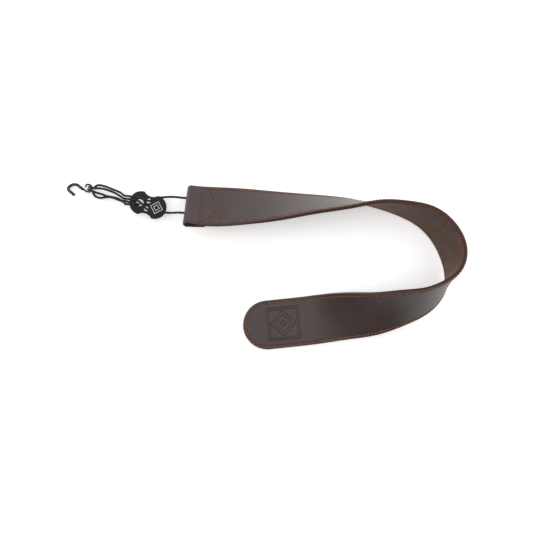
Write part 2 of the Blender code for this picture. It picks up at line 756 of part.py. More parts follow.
# The four cords between the plate's rim and the eye, from the rim on.
OUTER_UPPER = ((-0.1480, 0.1342, 0.0112), (-0.1541, 0.1371, 0.0100), (-0.1596, 0.1394, 0.0086),
               (-0.1651, 0.1415, 0.0069), (-0.1700, 0.1429, 0.0052), (-0.1750, 0.1427, 0.0036))
INNER_UPPER = ((-0.1476, 0.1302, 0.0113), (-0.1529, 0.1336, 0.0102), (-0.1585, 0.1362, 0.0092),
               (-0.1640, 0.1382, 0.0082), (-0.1695, 0.1395, 0.0072), (-0.1747, 0.1398, 0.0063))
INNER_LOWER = ((-0.1470, 0.1267, 0.0109), (-0.1529, 0.1293, 0.0099), (-0.1585, 0.1306, 0.0089),
               (-0.1640, 0.1318, 0.0080), (-0.1695, 0.1339, 0.0070), (-0.1745, 0.1353, 0.0062))
OUTER_LOWER = ((-0.1460, 0.1250, 0.0053), (-0.1520, 0.1280, 0.0046), (-0.1577, 0.1302, 0.0040),
               (-0.1640, 0.1312, 0.0034), (-0.1706, 0.1304, 0.0027), (-0.1753, 0.1313, 0.0020),
               (-0.1784, 0.1341, 0.0016))


def rim_start(rim, toward, level):
    """The first points of a cord outside the rim, in line with its run on the plate."""
    return [past_rim(rim, toward, RIM_OUT + GAP, level),
            past_rim(rim, toward, RIM_OUT + CORD_DIAMETER, level)]


def build_hook_loop(carrier):
    """The two bights of cord that reach from the plate's rim round the eye's bar."""
    upper = rim_start(RIM_UPPER, UPPER_ON_PLATE, OVER_PLATE)
    upper += [Vector(p) for p in OUTER_UPPER]
    upper += eye_wrap(1, False)
    upper += [Vector(p) for p in reversed(INNER_UPPER)]
    upper += reversed(rim_start(RIM_MIDDLE, MIDDLE_ON_PLATE, OVER_PLATE))
    tube("hook_bight_upper", even_points(upper, CORD_STEP), CORD_DIAMETER, "cord",
         carrier)

    lower = rim_start(RIM_LOWER, LOWER_ON_PLATE, OVER_PLATE)
    lower += [Vector(p) for p in INNER_LOWER]
    lower += eye_wrap(-1, True)
    lower += [Vector(p) for p in reversed(OUTER_LOWER)]
    lower += reversed(rim_start(RIM_UNDER, UNDER_PLATE, -OVER_PLATE))
    tube("hook_bight_lower", even_points(lower, CORD_STEP), CORD_DIAMETER, "cord",
         carrier)


def eye_points():
    """The eye: a rounded rectangle of wire, from the shank round to its free end."""
    far = -EYE_LENGTH
    half = EYE_WIDTH / 2
    corner = EYE_CORNER
    points = [(far + 0.0006, -half + 0.0005), (far + corner, -half)]
    for centre, first in (((-corner, -half + corner), -90), ((-corner, half - corner), 0),
                          ((far + corner, half - corner), 90)):
        for i in range(5):
            angle = math.radians(first + 90 * i / 4)
            points.append((centre[0] + corner * math.cos(angle),
                           centre[1] + corner * math.sin(angle)))
    points.append((far, 0.0))
    return [on_eye(forward, sideways, 0) for forward, sideways in points]


# The hook's middle line, from the eye's shank round its bend to its tip, as x and y.
HOOK_LINE = ((-0.1884, 0.1390), (-0.1898, 0.1397), (-0.1923, 0.1416), (-0.1949, 0.1435),
             (-0.1977, 0.1443), (-0.2006, 0.1438), (-0.2031, 0.1423), (-0.2046, 0.1402),
             (-0.2038, 0.1380), (-0.2018, 0.1363), (-0.1991, 0.1339))
SHANK_POINTS = 6                # the line comes down to the hook's lie over these


def hook_points():
    """Even points along the hook's middle line."""
    drop = HOOK_LIE - EYE_BAR[2]
    return even_points([(x, y, EYE_BAR[2] + drop * min(1, i / SHANK_POINTS))
                        for i, (x, y) in enumerate(HOOK_LINE)], HOOK_STEP)


def ring_frames(points):
    """A centre, and two directions square to the path, at each point of a path."""
    frames = []
    for i, point in enumerate(points):
        before = points[max(i - 1, 0)]
        after = points[min(i + 1, len(points) - 1)]
        ahead = (after - before).normalized()
        side = Vector((0, 0, 1)).cross(ahead).normalized()
        frames.append((point, side, ahead.cross(side), ahead))
    return frames


def build_sleeve(carrier):
    """The coating: a tube open where the wire enters, with a round closed tip."""
    frames = ring_frames(hook_points())
    radius = SLEEVE_DIAMETER / 2
    bore = WIRE_DIAMETER / 2 + GAP
    bm = bmesh.new()

    def ring(frame, size, push=0.0):
        centre, side, up, ahead = frame
        return [bm.verts.new(centre + ahead * push
                             + side * size * math.cos(2 * math.pi * k / SLEEVE_SIDES)
                             + up * size * math.sin(2 * math.pi * k / SLEEVE_SIDES))
                for k in range(SLEEVE_SIDES)]

    rings = [ring(frame, bore) for frame in reversed(frames[:-1])]
    rings += [ring(frame, radius) for frame in frames]
    for angle in (30, 60, 80):
        turn = math.radians(angle)
        rings.append(ring(frames[-1], radius * math.cos(turn), radius * math.sin(turn)))
    for one, two in zip(rings, rings[1:]):
        for k in range(SLEEVE_SIDES):
            after = (k + 1) % SLEEVE_SIDES
            bm.faces.new((one[k], one[after], two[after], two[k]))
    bm.faces.new(rings[0])
    bm.faces.new(rings[-1])
    mesh_object("hook_sleeve", bm, "hook_coating", carrier)


def build_wire(carrier):
    """The wire: through the sleeve and round the eye."""
    inside = hook_points()[:-1]
    inside[-1] = inside[-1] + (inside[-2] - inside[-1]).normalized() * GAP
    points = list(reversed(inside)) + eye_points()
    tube("hook_wire", points, WIRE_DIAMETER, "black_wire", carrier)


# -------------------------------------------------------------------- splice
def build_splice():
    """A crimped sleeve on the cord inside the fold, where the cord's ends meet."""
    _, centre_along, centre_height = fold_profile()
    ends = [FRAME.place(centre_along, side * SPLICE_LENGTH / 2, centre_height)
            for side in (-1, 1)]
    inner = CORD_RADIUS + GAP
    outer = inner + SPLICE_WALL
    frames = ring_frames(ends)
    sides = 12
    bm = bmesh.new()
    rings = []
    for frame, size in ((0, inner), (0, outer), (1, outer), (1, inner)):
        centre, side, up, _ = frames[frame]
        rings.append([bm.verts.new(centre + side * size * math.cos(2 * math.pi * k / sides)
                                   + up * size * math.sin(2 * math.pi * k / sides))
                      for k in range(sides)])
    for one, two in zip(rings, rings[1:] + rings[:1]):
        for k in range(sides):
            after = (k + 1) % sides
            bm.faces.new((one[k], one[after], two[after], two[k]))
    mesh_object("cord_splice", bm, "splice_metal")


def main():
    clear_scene()
    build_leather()
    build_threads()
    build_splice()
    build_strap_loop()
    slider = pivot("slider_pivot", SLIDER_CENTRE)
    build_slider(slider)
    build_emblem(slider)
    build_plate_cords(slider)
    loop = pivot("hook_loop_pivot", EYE_BAR)
    build_hook_loop(loop)
    hook = pivot("hook_pivot", EYE_BAR)
    build_sleeve(hook)
    build_wire(hook)


main()
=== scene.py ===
# %% [markdown]
# # A leather carrying strap with an adjustable cord and a coated hook
#
# The strap is two layers of leather sewn together, one round tail, one folded
# end that holds a thin black cord, a figure-of-eight slider plate on that cord,
# and a wire hook at its end.  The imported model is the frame: it gives every
# place, and nothing in it is moved.

# %% Load the frame
import math
from contextlib import contextmanager

import bpy
import numpy as np
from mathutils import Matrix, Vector


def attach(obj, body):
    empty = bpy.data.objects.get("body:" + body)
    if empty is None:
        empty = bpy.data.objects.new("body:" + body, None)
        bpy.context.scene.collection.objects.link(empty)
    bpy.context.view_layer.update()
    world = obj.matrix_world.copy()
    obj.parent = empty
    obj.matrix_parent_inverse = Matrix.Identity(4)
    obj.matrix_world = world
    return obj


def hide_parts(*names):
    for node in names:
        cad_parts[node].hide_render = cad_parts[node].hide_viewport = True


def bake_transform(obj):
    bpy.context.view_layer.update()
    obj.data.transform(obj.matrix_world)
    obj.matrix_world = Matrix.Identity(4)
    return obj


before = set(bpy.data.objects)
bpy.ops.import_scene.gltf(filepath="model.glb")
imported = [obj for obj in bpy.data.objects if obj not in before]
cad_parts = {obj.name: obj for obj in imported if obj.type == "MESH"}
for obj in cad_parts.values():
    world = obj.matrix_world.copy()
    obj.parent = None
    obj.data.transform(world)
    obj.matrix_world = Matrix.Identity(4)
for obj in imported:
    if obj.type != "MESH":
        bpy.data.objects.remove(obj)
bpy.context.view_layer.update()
print("nodes:", len(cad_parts))

# %% [markdown]
# ## Camera
#
# The strap was laid on a table and seen from straight above, from about arm's
# length.  A near camera makes the raised edges look larger than the edge that
# lies on the table, so its height matters as much as its angle.

# %% Camera
SENSOR_WIDTH = 36.0
CAMERA_HEIGHT = 0.620
VIEW_WIDTH = 0.549                     # table seen across the frame
CAMERA_FOOT = (-0.001, 0.060)          # the point straight under the camera

camera_data = bpy.data.cameras.new("camera")
camera_data.sensor_width = SENSOR_WIDTH
camera_data.lens = SENSOR_WIDTH * CAMERA_HEIGHT / VIEW_WIDTH
camera_data.clip_start = 0.01
camera = bpy.data.objects.new("camera", camera_data)
camera.location = (*CAMERA_FOOT, CAMERA_HEIGHT)
bpy.context.collection.objects.link(camera)
bpy.context.scene.camera = camera

# %% [markdown]
# ## Helpers for shaping by hand
#
# An operator acts on everything that is selected, so each step starts from a
# clean selection with one active object.  Every finished piece is handed over
# to the frame in the same way, at the end of its own cell.

# %% Helpers
TOUCHING = 0.000002                    # corners nearer than this are one corner


def nothing_selected():
    for other in list(bpy.context.selected_objects):
        other.select_set(False)


def only(thing):
    """Select one object and make it active."""
    nothing_selected()
    thing.select_set(True)
    bpy.context.view_layer.objects.active = thing


@contextmanager
def editing(thing, select="SELECT"):
    """Edit mode on one object, with all of its mesh selected, or none of it."""
    only(thing)
    bpy.ops.object.mode_set(mode="EDIT")
    bpy.ops.mesh.select_all(action=select)
    yield
    bpy.ops.object.mode_set(mode="OBJECT")


@contextmanager
def editing_edges(thing, wanted):
    """Edit mode with only those edges selected whose two ends are wanted."""
    with editing(thing, "DESELECT"):
        bpy.ops.object.mode_set(mode="OBJECT")
        for edge in thing.data.edges:
            edge.select = wanted([thing.data.vertices[v].co for v in edge.vertices])
        bpy.ops.object.mode_set(mode="EDIT")
        bpy.ops.mesh.select_mode(type="EDGE")
        yield


def add_primitive(kind, name, **settings):
    """Add a mesh primitive and name it."""
    nothing_selected()
    getattr(bpy.ops.mesh, "primitive_" + kind + "_add")(**settings)
    thing = bpy.context.active_object
    thing.name = name
    thing.data.name = name
    return thing


def face_outwards(thing, merge=False):
    """Turn all faces outwards, after joining the corners that touch."""
    with editing(thing):
        if merge:
            bpy.ops.mesh.remove_doubles(threshold=TOUCHING)
        bpy.ops.mesh.normals_make_consistent(inside=False)


def pull_up(height):
    """Give the flat faces being edited a thickness."""
    bpy.ops.mesh.extrude_region_move(TRANSFORM_OT_translate={"value": (0, 0, height)})
    bpy.ops.mesh.select_all(action="SELECT")
    bpy.ops.mesh.normals_make_consistent(inside=False)


def apply_modifier(thing, kind, **settings):
    """Add a modifier, set it and apply it."""
    only(thing)
    modifier = thing.modifiers.new(kind.lower(), kind)
    for key, value in settings.items():
        setattr(modifier, key, value)
    bpy.ops.object.modifier_apply(modifier=modifier.name)


def cut_out(target, cutter):
    apply_modifier(target, "BOOLEAN", operation="DIFFERENCE", solver="EXACT", object=cutter)
    bpy.data.objects.remove(cutter, do_unlink=True)


def settle_in_mesh(thing):
    """Move an object's place into its mesh, so that it sits at the origin."""
    only(thing)
    bpy.ops.object.transform_apply(location=True, rotation=True, scale=True)


def smooth_by_angle(thing, degrees):
    only(thing)
    bpy.ops.object.shade_smooth_by_angle(angle=math.radians(degrees))


def hand_over(thing, node, body=None, finish=None):
    """Let a finished piece stand for a node of the frame, and follow a body."""
    if finish:
        thing.data.materials.clear()
        thing.data.materials.append(finish)
    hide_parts(node)
    if body:
        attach(thing, body)


# %% [markdown]
# ## A smooth line through chosen points
#
# A cord or a strap takes a smooth line, never straight runs with bent corners.
# A natural cubic spline has the least bend of all curves through its points,
# which is just what a springy strip does.

# %% Smooth line
def unit(vectors):
    """The same directions, with length 1."""
    return vectors / np.linalg.norm(vectors, axis=-1, keepdims=True)


def smooth_line(points, samples_each=40):
    """Closely spaced samples of a natural cubic spline through points."""
    points = np.array(points, float)
    knots = np.zeros(len(points))
    knots[1:] = np.cumsum(np.linalg.norm(np.diff(points[:, :3], axis=0), axis=1))
    steps = np.diff(knots)
    count = len(points)
    system = np.eye(count)
    right = np.zeros_like(points)
    for i in range(1, count - 1):
        system[i, i - 1:i + 2] = (steps[i - 1], 2 * (steps[i - 1] + steps[i]), steps[i])
        after = (points[i + 1] - points[i]) / steps[i]
        before = (points[i] - points[i - 1]) / steps[i - 1]
        right[i] = 6 * (after - before)
    bends = np.linalg.solve(system, right)
    fine = []
    for distance in np.linspace(0, knots[-1], samples_each * count):
        i = int(np.clip(np.searchsorted(knots, distance) - 1, 0, count - 2))
        h = steps[i]
        a = knots[i + 1] - distance
        b = distance - knots[i]
        fine.append((bends[i] * a ** 3 + bends[i + 1] * b ** 3) / (6 * h)
                    + (points[i] / h - bends[i] * h / 6) * a
                    + (points[i + 1] / h - bends[i + 1] * h / 6) * b)
    return np.array(fine)


def run_length(line):
    """Distance along a line at each of its points."""
    run = np.zeros(len(line))
    run[1:] = np.cumsum(np.linalg.norm(np.diff(line[:, :3], axis=0), axis=1))
    return run


def even_line(points, step):
    """Points a step apart along the smooth line."""
    fine = smooth_line(points)
    run = run_length(fine)
    count = max(3, round(run[-1] / step) + 1)
    wanted = np.linspace(0, run[-1], count)
    return np.stack([np.interp(wanted, run, fine[:, k]) for k in range(3)], axis=1)


# %% [markdown]
# ## How the strap lies
#
# The middle of the strap passes through the stations below.  Each gives x, y,
# the height of the strap's lower edge, and its lean: 0 lies flat with the grain
# up, 90 stands on its lower edge.  Everything sewn into the strap is shaped flat
# as on a cutting table, and then laid along this route.

# %% Route of the strap
STRAP_WIDTH = 0.050
HALF_WIDTH = STRAP_WIDTH / 2
STRAP_THICKNESS = 0.0035
HALF_THICKNESS = STRAP_THICKNESS / 2
TAIL_FLAT = 0.030
TAIL_SETTLE = 0.030

ROUTE = (
    (-0.0821, 0.1216, 0.0042, 38),
    (-0.0525, 0.1201, 0.0038, 36),
    (-0.0227, 0.1200, 0.0030, 42),
    (0.0118, 0.1204, 0.0020, 53),
    (0.0463, 0.1220, 0.0015, 65),
    (0.0809, 0.1228, 0.0011, 76),
    (0.1103, 0.1219, 0.0009, 90),
    (0.1342, 0.1174, 0.0010, 98),
    (0.1560, 0.1095, 0.0011, 105),
    (0.1732, 0.0943, 0.0013, 107),
    (0.1825, 0.0748, 0.0028, 103),
    (0.1822, 0.0553, 0.0060, 88),
    (0.1719, 0.0388, 0.0100, 69),
    (0.1559, 0.0272, 0.0130, 56),
    (0.1327, 0.0197, 0.0132, 43),
    (0.1049, 0.0130, 0.0100, 28),
    (0.0778, 0.0098, 0.0048, 15),
    (0.0457, 0.0050, 0.00185, 1),
    (0.0230, 0.0024, 0.00175, 0),
    (0.0, 0.0, 0.00175, 0),
)


class StrapRoute:
    """Lays flat shapes, given by along, across and height, along the strap's route."""

    def __init__(self):
        stations = [(x, y, low + HALF_WIDTH * math.sin(math.radians(lean)), lean * 0.001)
                    for x, y, low, lean in ROUTE]
        fine = smooth_line(stations, 100)
        self.run = run_length(fine)
        self.length = self.run[-1]
        settle = np.clip((self.length - TAIL_FLAT - self.run) / TAIL_SETTLE, 0, 1)
        share = settle ** 2 * (3 - 2 * settle)
        fine[:, 2] = HALF_THICKNESS + (fine[:, 2] - HALF_THICKNESS) * share
        lean = np.radians(fine[:, 3] * 1000 * share)
        self.middle = fine[:, :3]
        forward = unit(np.gradient(self.middle, axis=0))
        level = unit(np.stack([forward[:, 1], -forward[:, 0], np.zeros(len(fine))], axis=1))
        rise = np.cross(level, forward)
        self.forward = forward
        self.side = -(level * np.cos(lean)[:, None] + rise * np.sin(lean)[:, None])
        self.off = np.cross(forward, self.side)

    def lay(self, flat):
        """Places for an array of (along, across, height)."""
        flat = np.asarray(flat, float)
        along = np.clip(flat[:, 0], 0, self.length)
        past = flat[:, 0] - along

        def read(table):
            return np.stack([np.interp(along, self.run, table[:, k]) for k in range(3)], axis=1)

        return (read(self.middle) + read(self.forward) * past[:, None]
                + read(self.side) * flat[:, 1:2] + read(self.off) * flat[:, 2:3])


route = StrapRoute()
TAIL_CENTRE = route.length
print("strap, middle line, mm:", round(1000 * TAIL_CENTRE, 1))

# %% [markdown]
# ## The cord's places
#
# One thin black cord runs from the hook to the plate, through the plate's holes,
# and through the folded end of the strap.  Its places on the plate are given in
# the plate's own directions, and its places in the fold in the strap's.

# %% Places on the plate, the eye and the fold
GAP = 0.0003                           # between pieces that touch
CORD_DIAMETER = 0.0024
CORD_RADIUS = CORD_DIAMETER / 2
CORD_STEP = 0.0025
LEATHER = 0.0016                       # thickness of one leather layer
FACE_MIDDLE = GAP / 2 + LEATHER / 2
TAB_MIDDLE = -HALF_THICKNESS - GAP - LEATHER / 2
FOLD_RADIUS = 0.0031                   # middle of the leather round the cord
FOLD_AT = FOLD_RADIUS + LEATHER / 2
FOLD_HEIGHT = (FACE_MIDDLE + TAB_MIDDLE) / 2
BAR = 0.0165                           # seam that closes the fold
CORD_HOLE_SPREAD = 0.0102
CORD_HOLE_DIAMETER = 0.0034

PLATE_CENTRE = (-0.1211, 0.1223, 0.0100)
PLATE_TURN = math.radians(-17.5)
PLATE_THICKNESS = 0.0025
ON_PLATE = PLATE_THICKNESS / 2 + GAP + CORD_RADIUS
ANCHOR_HOLE = (-0.0084, 0.0, 0.00365)
UPPER_HOLE = (-0.0005, 0.0042, 0.0025)
LOWER_HOLE = (-0.0005, -0.0042, 0.0025)

EYE_BAR = (-0.1808, 0.1394, 0.0036)
EYE_TURN = math.atan2(-0.294, 0.956)
WIRE_RADIUS = 0.0009


def turned_place(centre, turn, along, across, above):
    x, y, z = centre
    return Vector((x + along * math.cos(turn) - across * math.sin(turn),
                   y + along * math.sin(turn) + across * math.cos(turn), z + above))


def on_plate(along, across, above):
    return turned_place(PLATE_CENTRE, PLATE_TURN, along, across, above)


def on_eye(forward, sideways, above):
    return turned_place(EYE_BAR, EYE_TURN, forward, sideways, above)


def in_strap(along, across, height):
    return Vector(route.lay([(along, across, height)])[0])


# %% [markdown]
# ### Turning through a hole, round the fold and over the rim
#
# The cord goes flat along the plate, dips into a hole and leaves on the other
# side.  Each of these turns is a handful of points, and the smooth line through
# them makes the bend.

# %% Turns of the cord
def dive(hole, towards, under):
    """From flat on one side of the plate to the middle of a hole."""
    along, across, _ = hole
    level = -ON_PLATE if under else ON_PLATE
    way = (Vector(towards) - Vector((along, across))).normalized()
    turn = [on_plate(along + way.x * back, across + way.y * back, level * share)
            for back, share in ((0.0030, 1.0), (0.0016, 0.95), (0.0005, 0.62))]
    return turn + [on_plate(along, across, math.copysign(GAP / 2, level))]


def into_fold(side):
    """From outside the fold, through its punched hole, to the fold's middle."""
    hole = CORD_HOLE_SPREAD
    steps = ((-0.0030, hole), (-0.0008, hole), (0.0014, hole - 0.0001),
             (FOLD_AT - 0.0008, hole - 0.0009), (FOLD_AT - 0.0001, hole - 0.0024),
             (FOLD_AT, hole - 0.0045))
    return [in_strap(along, side * across, FOLD_HEIGHT) for along, across in steps]


def past_rim(rim, toward, distance, level):
    """Straight on from the rim, away from the plate."""
    way = (Vector(rim) - Vector(toward)).normalized() * distance
    return on_plate(rim[0] + way.x, rim[1] + way.y, level)


def round_eye(side, over_first):
    """Round the eye's bar, beside its middle."""
    radius = WIRE_RADIUS + GAP + CORD_RADIUS
    beside = side * (CORD_RADIUS + GAP / 2)
    sign = 1 if over_first else -1
    angles = [math.radians(a) for a in (75, 105, 140, 180, 220, 255, 285)]
    return [on_eye(radius * math.cos(a), beside, sign * radius * math.sin(a))
            for a in angles]


# %% [markdown]
# ### The six runs of the cord
#
# The cord is one closed loop, cut here where the parts that move meet: at the
# plate's holes and at its near rim.

# %% Routes of the cord
RIM_OUT = 0.0022                       # where a run on the plate ends, past the rim
CORD_BESIDE = CORD_DIAMETER + 0.0004   # from one run to the next beside it
RIM_UPPER, UPPER_NEXT = (-0.0199, CORD_BESIDE - 0.0001), (-0.0128, CORD_BESIDE + 0.0012)
RIM_MIDDLE, MIDDLE_NEXT = (-0.0193, -0.0001), (-0.0130, 0.0011)
RIM_LOWER, LOWER_NEXT = (-0.0187, -0.0001 - CORD_BESIDE), (-0.0130, 0.0003 - CORD_BESIDE)
RIM_UNDER, UNDER_NEXT = (-0.0184, -0.0047), (-0.0135, -0.0034)
NEAR_UPPER, NEAR_LOWER = (-0.0065, 0.0041), (-0.0048, -0.0013)
ROUND_THE_WAIST = ((-0.0110, 0.0004 - CORD_BESIDE, 1.0),
                   (-0.0095, 0.0007 - CORD_BESIDE, 0.65),
                   (-0.0090, 0.0007 - CORD_BESIDE, 0.0),
                   (-0.0095, 0.0006 - CORD_BESIDE, -0.65), (-0.0110, -0.0025, -1.0))

UNDER_PLATE = PLATE_CENTRE[2] - ON_PLATE - 0.0001
UPPER_RUN = ((-0.1140, 0.1290, UNDER_PLATE), (-0.1075, 0.1303, UNDER_PLATE),
             (-0.0999, 0.1307, 0.0086), (-0.0920, 0.1302, 0.0112))
LOWER_RUN = ((-0.1160, 0.1166, UNDER_PLATE), (-0.1090, 0.1153, UNDER_PLATE),
             (-0.1020, 0.1147, UNDER_PLATE), (-0.0950, 0.1139, 0.0155))


def from_rim(rim, toward, level):
    """From just past the rim to flat on the plate."""
    return [past_rim(rim, toward, RIM_OUT, level), on_plate(*rim, level),
            on_plate(*toward, level)]


strap_loop_route = [*reversed(dive(UPPER_HOLE, (0.010, 0.012), True)), *UPPER_RUN,
                    *into_fold(1), *reversed(into_fold(-1)), *reversed(LOWER_RUN),
                    *dive(LOWER_HOLE, (0.010, -0.003), True)]
over_upper_route = [*from_rim(RIM_UPPER, UPPER_NEXT, ON_PLATE),
                    on_plate(*NEAR_UPPER, ON_PLATE), *dive(UPPER_HOLE, NEAR_UPPER, False)]
over_lower_route = [*from_rim(RIM_MIDDLE, MIDDLE_NEXT, ON_PLATE),
                    on_plate(-0.0079, 0.0003, ON_PLATE), on_plate(*NEAR_LOWER, ON_PLATE),
                    *dive(LOWER_HOLE, NEAR_LOWER, False)]
rim_bight_route = [*from_rim(RIM_LOWER, LOWER_NEXT, ON_PLATE),
                   *(on_plate(along, across, ON_PLATE * share)
                     for along, across, share in ROUND_THE_WAIST),
                   *reversed(from_rim(RIM_UNDER, UNDER_NEXT, -ON_PLATE))]

# %% Routes of the two bights that hold the hook
OUTER_UPPER = ((-0.1480, 0.1342, 0.0112), (-0.1541, 0.1371, 0.0100), (-0.1596, 0.1394, 0.0086),
               (-0.1651, 0.1415, 0.0069), (-0.1700, 0.1429, 0.0052), (-0.1750, 0.1427, 0.0036))
INNER_UPPER = ((-0.1476, 0.1302, 0.0113), (-0.1529, 0.1336, 0.0102), (-0.1585, 0.1362, 0.0092),
               (-0.1640, 0.1382, 0.0082), (-0.1695, 0.1395, 0.0072), (-0.1747, 0.1398, 0.0063))
INNER_LOWER = ((-0.1470, 0.1267, 0.0109), (-0.1529, 0.1293, 0.0099), (-0.1585, 0.1306, 0.0089),
               (-0.1640, 0.1318, 0.0080), (-0.1695, 0.1339, 0.0070), (-0.1745, 0.1353, 0.0062))
OUTER_LOWER = ((-0.1460, 0.1250, 0.0053), (-0.1520, 0.1280, 0.0046), (-0.1577, 0.1302, 0.0040),
               (-0.1640, 0.1312, 0.0034), (-0.1706, 0.1304, 0.0027), (-0.1753, 0.1313, 0.0020),
               (-0.1784, 0.1341, 0.0016))


def rim_start(rim, toward, level):
    """The first points outside the rim, in line with the run on the plate."""
    return [past_rim(rim, toward, RIM_OUT + further, level) for further in (GAP, CORD_DIAMETER)]


upper_bight_route = [*rim_start(RIM_UPPER, UPPER_NEXT, ON_PLATE), *OUTER_UPPER,
                     *round_eye(1, False), *reversed(INNER_UPPER),
                     *reversed(rim_start(RIM_MIDDLE, MIDDLE_NEXT, ON_PLATE))]
lower_bight_route = [*rim_start(RIM_LOWER, LOWER_NEXT, ON_PLATE), *INNER_LOWER,
                     *round_eye(-1, True), *reversed(OUTER_LOWER),
                     *reversed(rim_start(RIM_UNDER, UNDER_NEXT, -ON_PLATE))]

# %% [markdown]
# ## Node helpers
#
# Every finish is built from noise and wave patterns.  Small helpers add the
# nodes and fill their sockets, where a value is either a number or another
# node's output.  A socket knows its own tree, so only the first node of a chain
# has to be told which one it goes in.

# %% Node helpers
def set_inputs(node, inputs):
    for key, value in dict(inputs).items():
        if isinstance(value, bpy.types.NodeSocket):
            node.id_data.links.new(value, node.inputs[key])
        else:
            node.inputs[key].default_value = value
    return node


def add_node(tree, kind, inputs=(), **settings):
    node = tree.nodes.new("ShaderNode" + kind)
    for key, value in settings.items():
        setattr(node, key, value)
    return set_inputs(node, inputs)


def new_finish(name, colour, roughness, metallic=0.0):
    """A material with its Principled shader set, and its node tree."""
    finish = bpy.data.materials.new(name)
    finish.use_nodes = True
    finish.diffuse_color = (*colour, 1.0)
    shader = finish.node_tree.nodes["Principled BSDF"]
    set_inputs(shader, {"Base Color": (*colour, 1.0), "Roughness": roughness,
                        "Metallic": metallic})
    return finish, finish.node_tree, shader


def flat_places(tree):
    return add_node(tree, "UVMap", uv_map="flat").outputs["UV"]


def object_places(tree):
    return add_node(tree, "TexCoord").outputs["Object"]


def marked(tree, name):
    """A mark that the mesh carries at its vertices."""
    return add_node(tree, "Attribute", attribute_name=name).outputs["Fac"]


def split(vector):
    return add_node(vector.id_data, "SeparateXYZ", {0: vector}).outputs


def stretched(places, scale, turn=0.0):
    return add_node(places.id_data, "Mapping", {"Vector": places, "Scale": scale,
                                                "Rotation": (0.0, 0.0, turn)}).outputs[0]


def calculate(operation, first, second=0.0, clamp=False):
    tree = (first if isinstance(first, bpy.types.NodeSocket) else second).id_data
    return add_node(tree, "Math", {0: first, 1: second}, operation=operation,
                    use_clamp=clamp).outputs[0]


def times(first, second, clamp=False):
    return calculate("MULTIPLY", first, second, clamp)


def plus(first, second):
    return calculate("ADD", first, second)


def larger(first, second):
    return calculate("MAXIMUM", first, second)


def apart(first, second):
    return calculate("ABSOLUTE", calculate("SUBTRACT", first, second))


def ramp(factor, stops):
    """Colours along a factor; stops are (place, colour)."""
    node = add_node(factor.id_data, "ValToRGB", {"Fac": factor})
    elements = node.color_ramp.elements
    while len(elements) < len(stops):
        elements.new(0.5)
    for element, (place, colour) in zip(elements, stops):
        element.position = place
        element.color = (*colour, 1.0)
    return node.outputs["Color"]


def span(factor, low, high):
    """Stretch a 0 to 1 factor to low to high."""
    return add_node(factor.id_data, "MapRange", {"Value": factor, "To Min": low,
                                                 "To Max": high}).outputs["Result"]


def noise(places, scale, detail=3.0, rough=0.55):
    return add_node(places.id_data, "TexNoise", {
        "Vector": places, "Scale": scale, "Detail": detail, "Roughness": rough}).outputs["Fac"]


def mix_colours(factor, first, second):
    first, second = (colour if isinstance(colour, bpy.types.NodeSocket) else (*colour, 1.0)
                     for colour in (first, second))
    return add_node(factor.id_data, "Mix", {0: factor, 6: first, 7: second},
                    data_type="RGBA").outputs[2]


def bump(height, distance, strength, under=None):
    inputs = {"Height": height, "Distance": distance, "Strength": strength}
    if under is not None:
        inputs["Normal"] = under
    return add_node(height.id_data, "Bump", inputs).outputs["Normal"]


# %% [markdown]
# ## Cord finish
# The cord is a braided polyester sleeve over a fine core, black with a faint
# blue in it.  The braid is modelled as real relief, because a cord is mostly seen
# by its outline, and the finish adds the single filaments: fine lines that lean
# one way on one strand and the other way on the next.  The braid's relief is also
# painted into the colour, as painted shade between the strands and a painted
# highlight on their crests.

# %% Cord finish
BRAID_TURN = 4                         # strands of each hand round the cord
BRAID_LENGTH = 0.0017                  # one strand over and the next one under

cord_finish, tree, shader = new_finish("braided_cord", (0.020, 0.018, 0.030), 0.62)
where = flat_places(tree)
around = times(split(where)["X"], BRAID_TURN * 2 * math.pi)
onward = times(split(where)["Y"], 2 * math.pi / BRAID_LENGTH)
strand = times(calculate("COSINE", around), calculate("COSINE", onward))
filaments = noise(stretched(where, (60.0, 1500.0, 1.0)), 1.0, 2.0)
fade = noise(object_places(tree), 260.0)
# Painted shade in the braid's hollows and a painted highlight on its crests, mixed with the
# filaments' own tone.
braid_shade_and_tone = ramp(plus(times(span(strand, 0.25, 0.75), 0.6), times(filaments, 0.4)),
                 [(0.20, (0.006, 0.006, 0.010)), (0.60, (0.024, 0.022, 0.036)),
                  (0.90, (0.060, 0.056, 0.082))])
set_inputs(shader, {
    "Base Color": mix_colours(times(fade, 0.35), braid_shade_and_tone, (0.018, 0.019, 0.022)),
    "Roughness": span(filaments, 0.50, 0.78), "Normal": bump(filaments, 0.00008, 0.7),
    "Sheen Weight": 0.05, "Sheen Roughness": 0.5, "Specular IOR Level": 0.3})

# %% [markdown]
# ## Making the cord
#
# A ring is carried along the smooth line without letting it twist, and each ring
# is pushed out where a strand lies on top.  Steps of about a quarter of a
# millimetre are just fine enough to hold the braid.

# %% Meshes from rings
def tube_mesh(name, places):
    """A closed tube from rows of places: each row is one ring, and both ends are capped."""
    rows, columns = places.shape[:2]
    index = np.arange(rows * columns).reshape(rows, columns)
    after = np.roll(index, -1, axis=1)
    quads = np.stack([index[:-1], after[:-1], after[1:], index[1:]], axis=-1).reshape(-1, 4)
    caps = [index[0].tolist(), index[-1, ::-1].tolist()]
    mesh = bpy.data.meshes.new(name)
    mesh.from_pydata(places.reshape(-1, 3).tolist(), [], quads.tolist() + caps)
    mesh.validate()
    return mesh


def write_uv(mesh, uv, goes_round=False):
    """Give each corner its vertex's flat place.

    Round a cord the last column ends at 1, where the first one begins at 0.
    """
    vertex = np.empty(len(mesh.loops), int)
    mesh.loops.foreach_get("vertex_index", vertex)
    corners = uv.reshape(-1, 2)[vertex].astype(np.float32)
    if goes_round:
        rows, columns = uv.shape[:2]
        quads = corners[:4 * (rows - 1) * columns].reshape(rows - 1, columns, 4, 2)
        quads[:, -1, 1:3, 0] = 1.0
    mesh.uv_layers.new(name="flat").data.foreach_set("uv", corners.ravel())


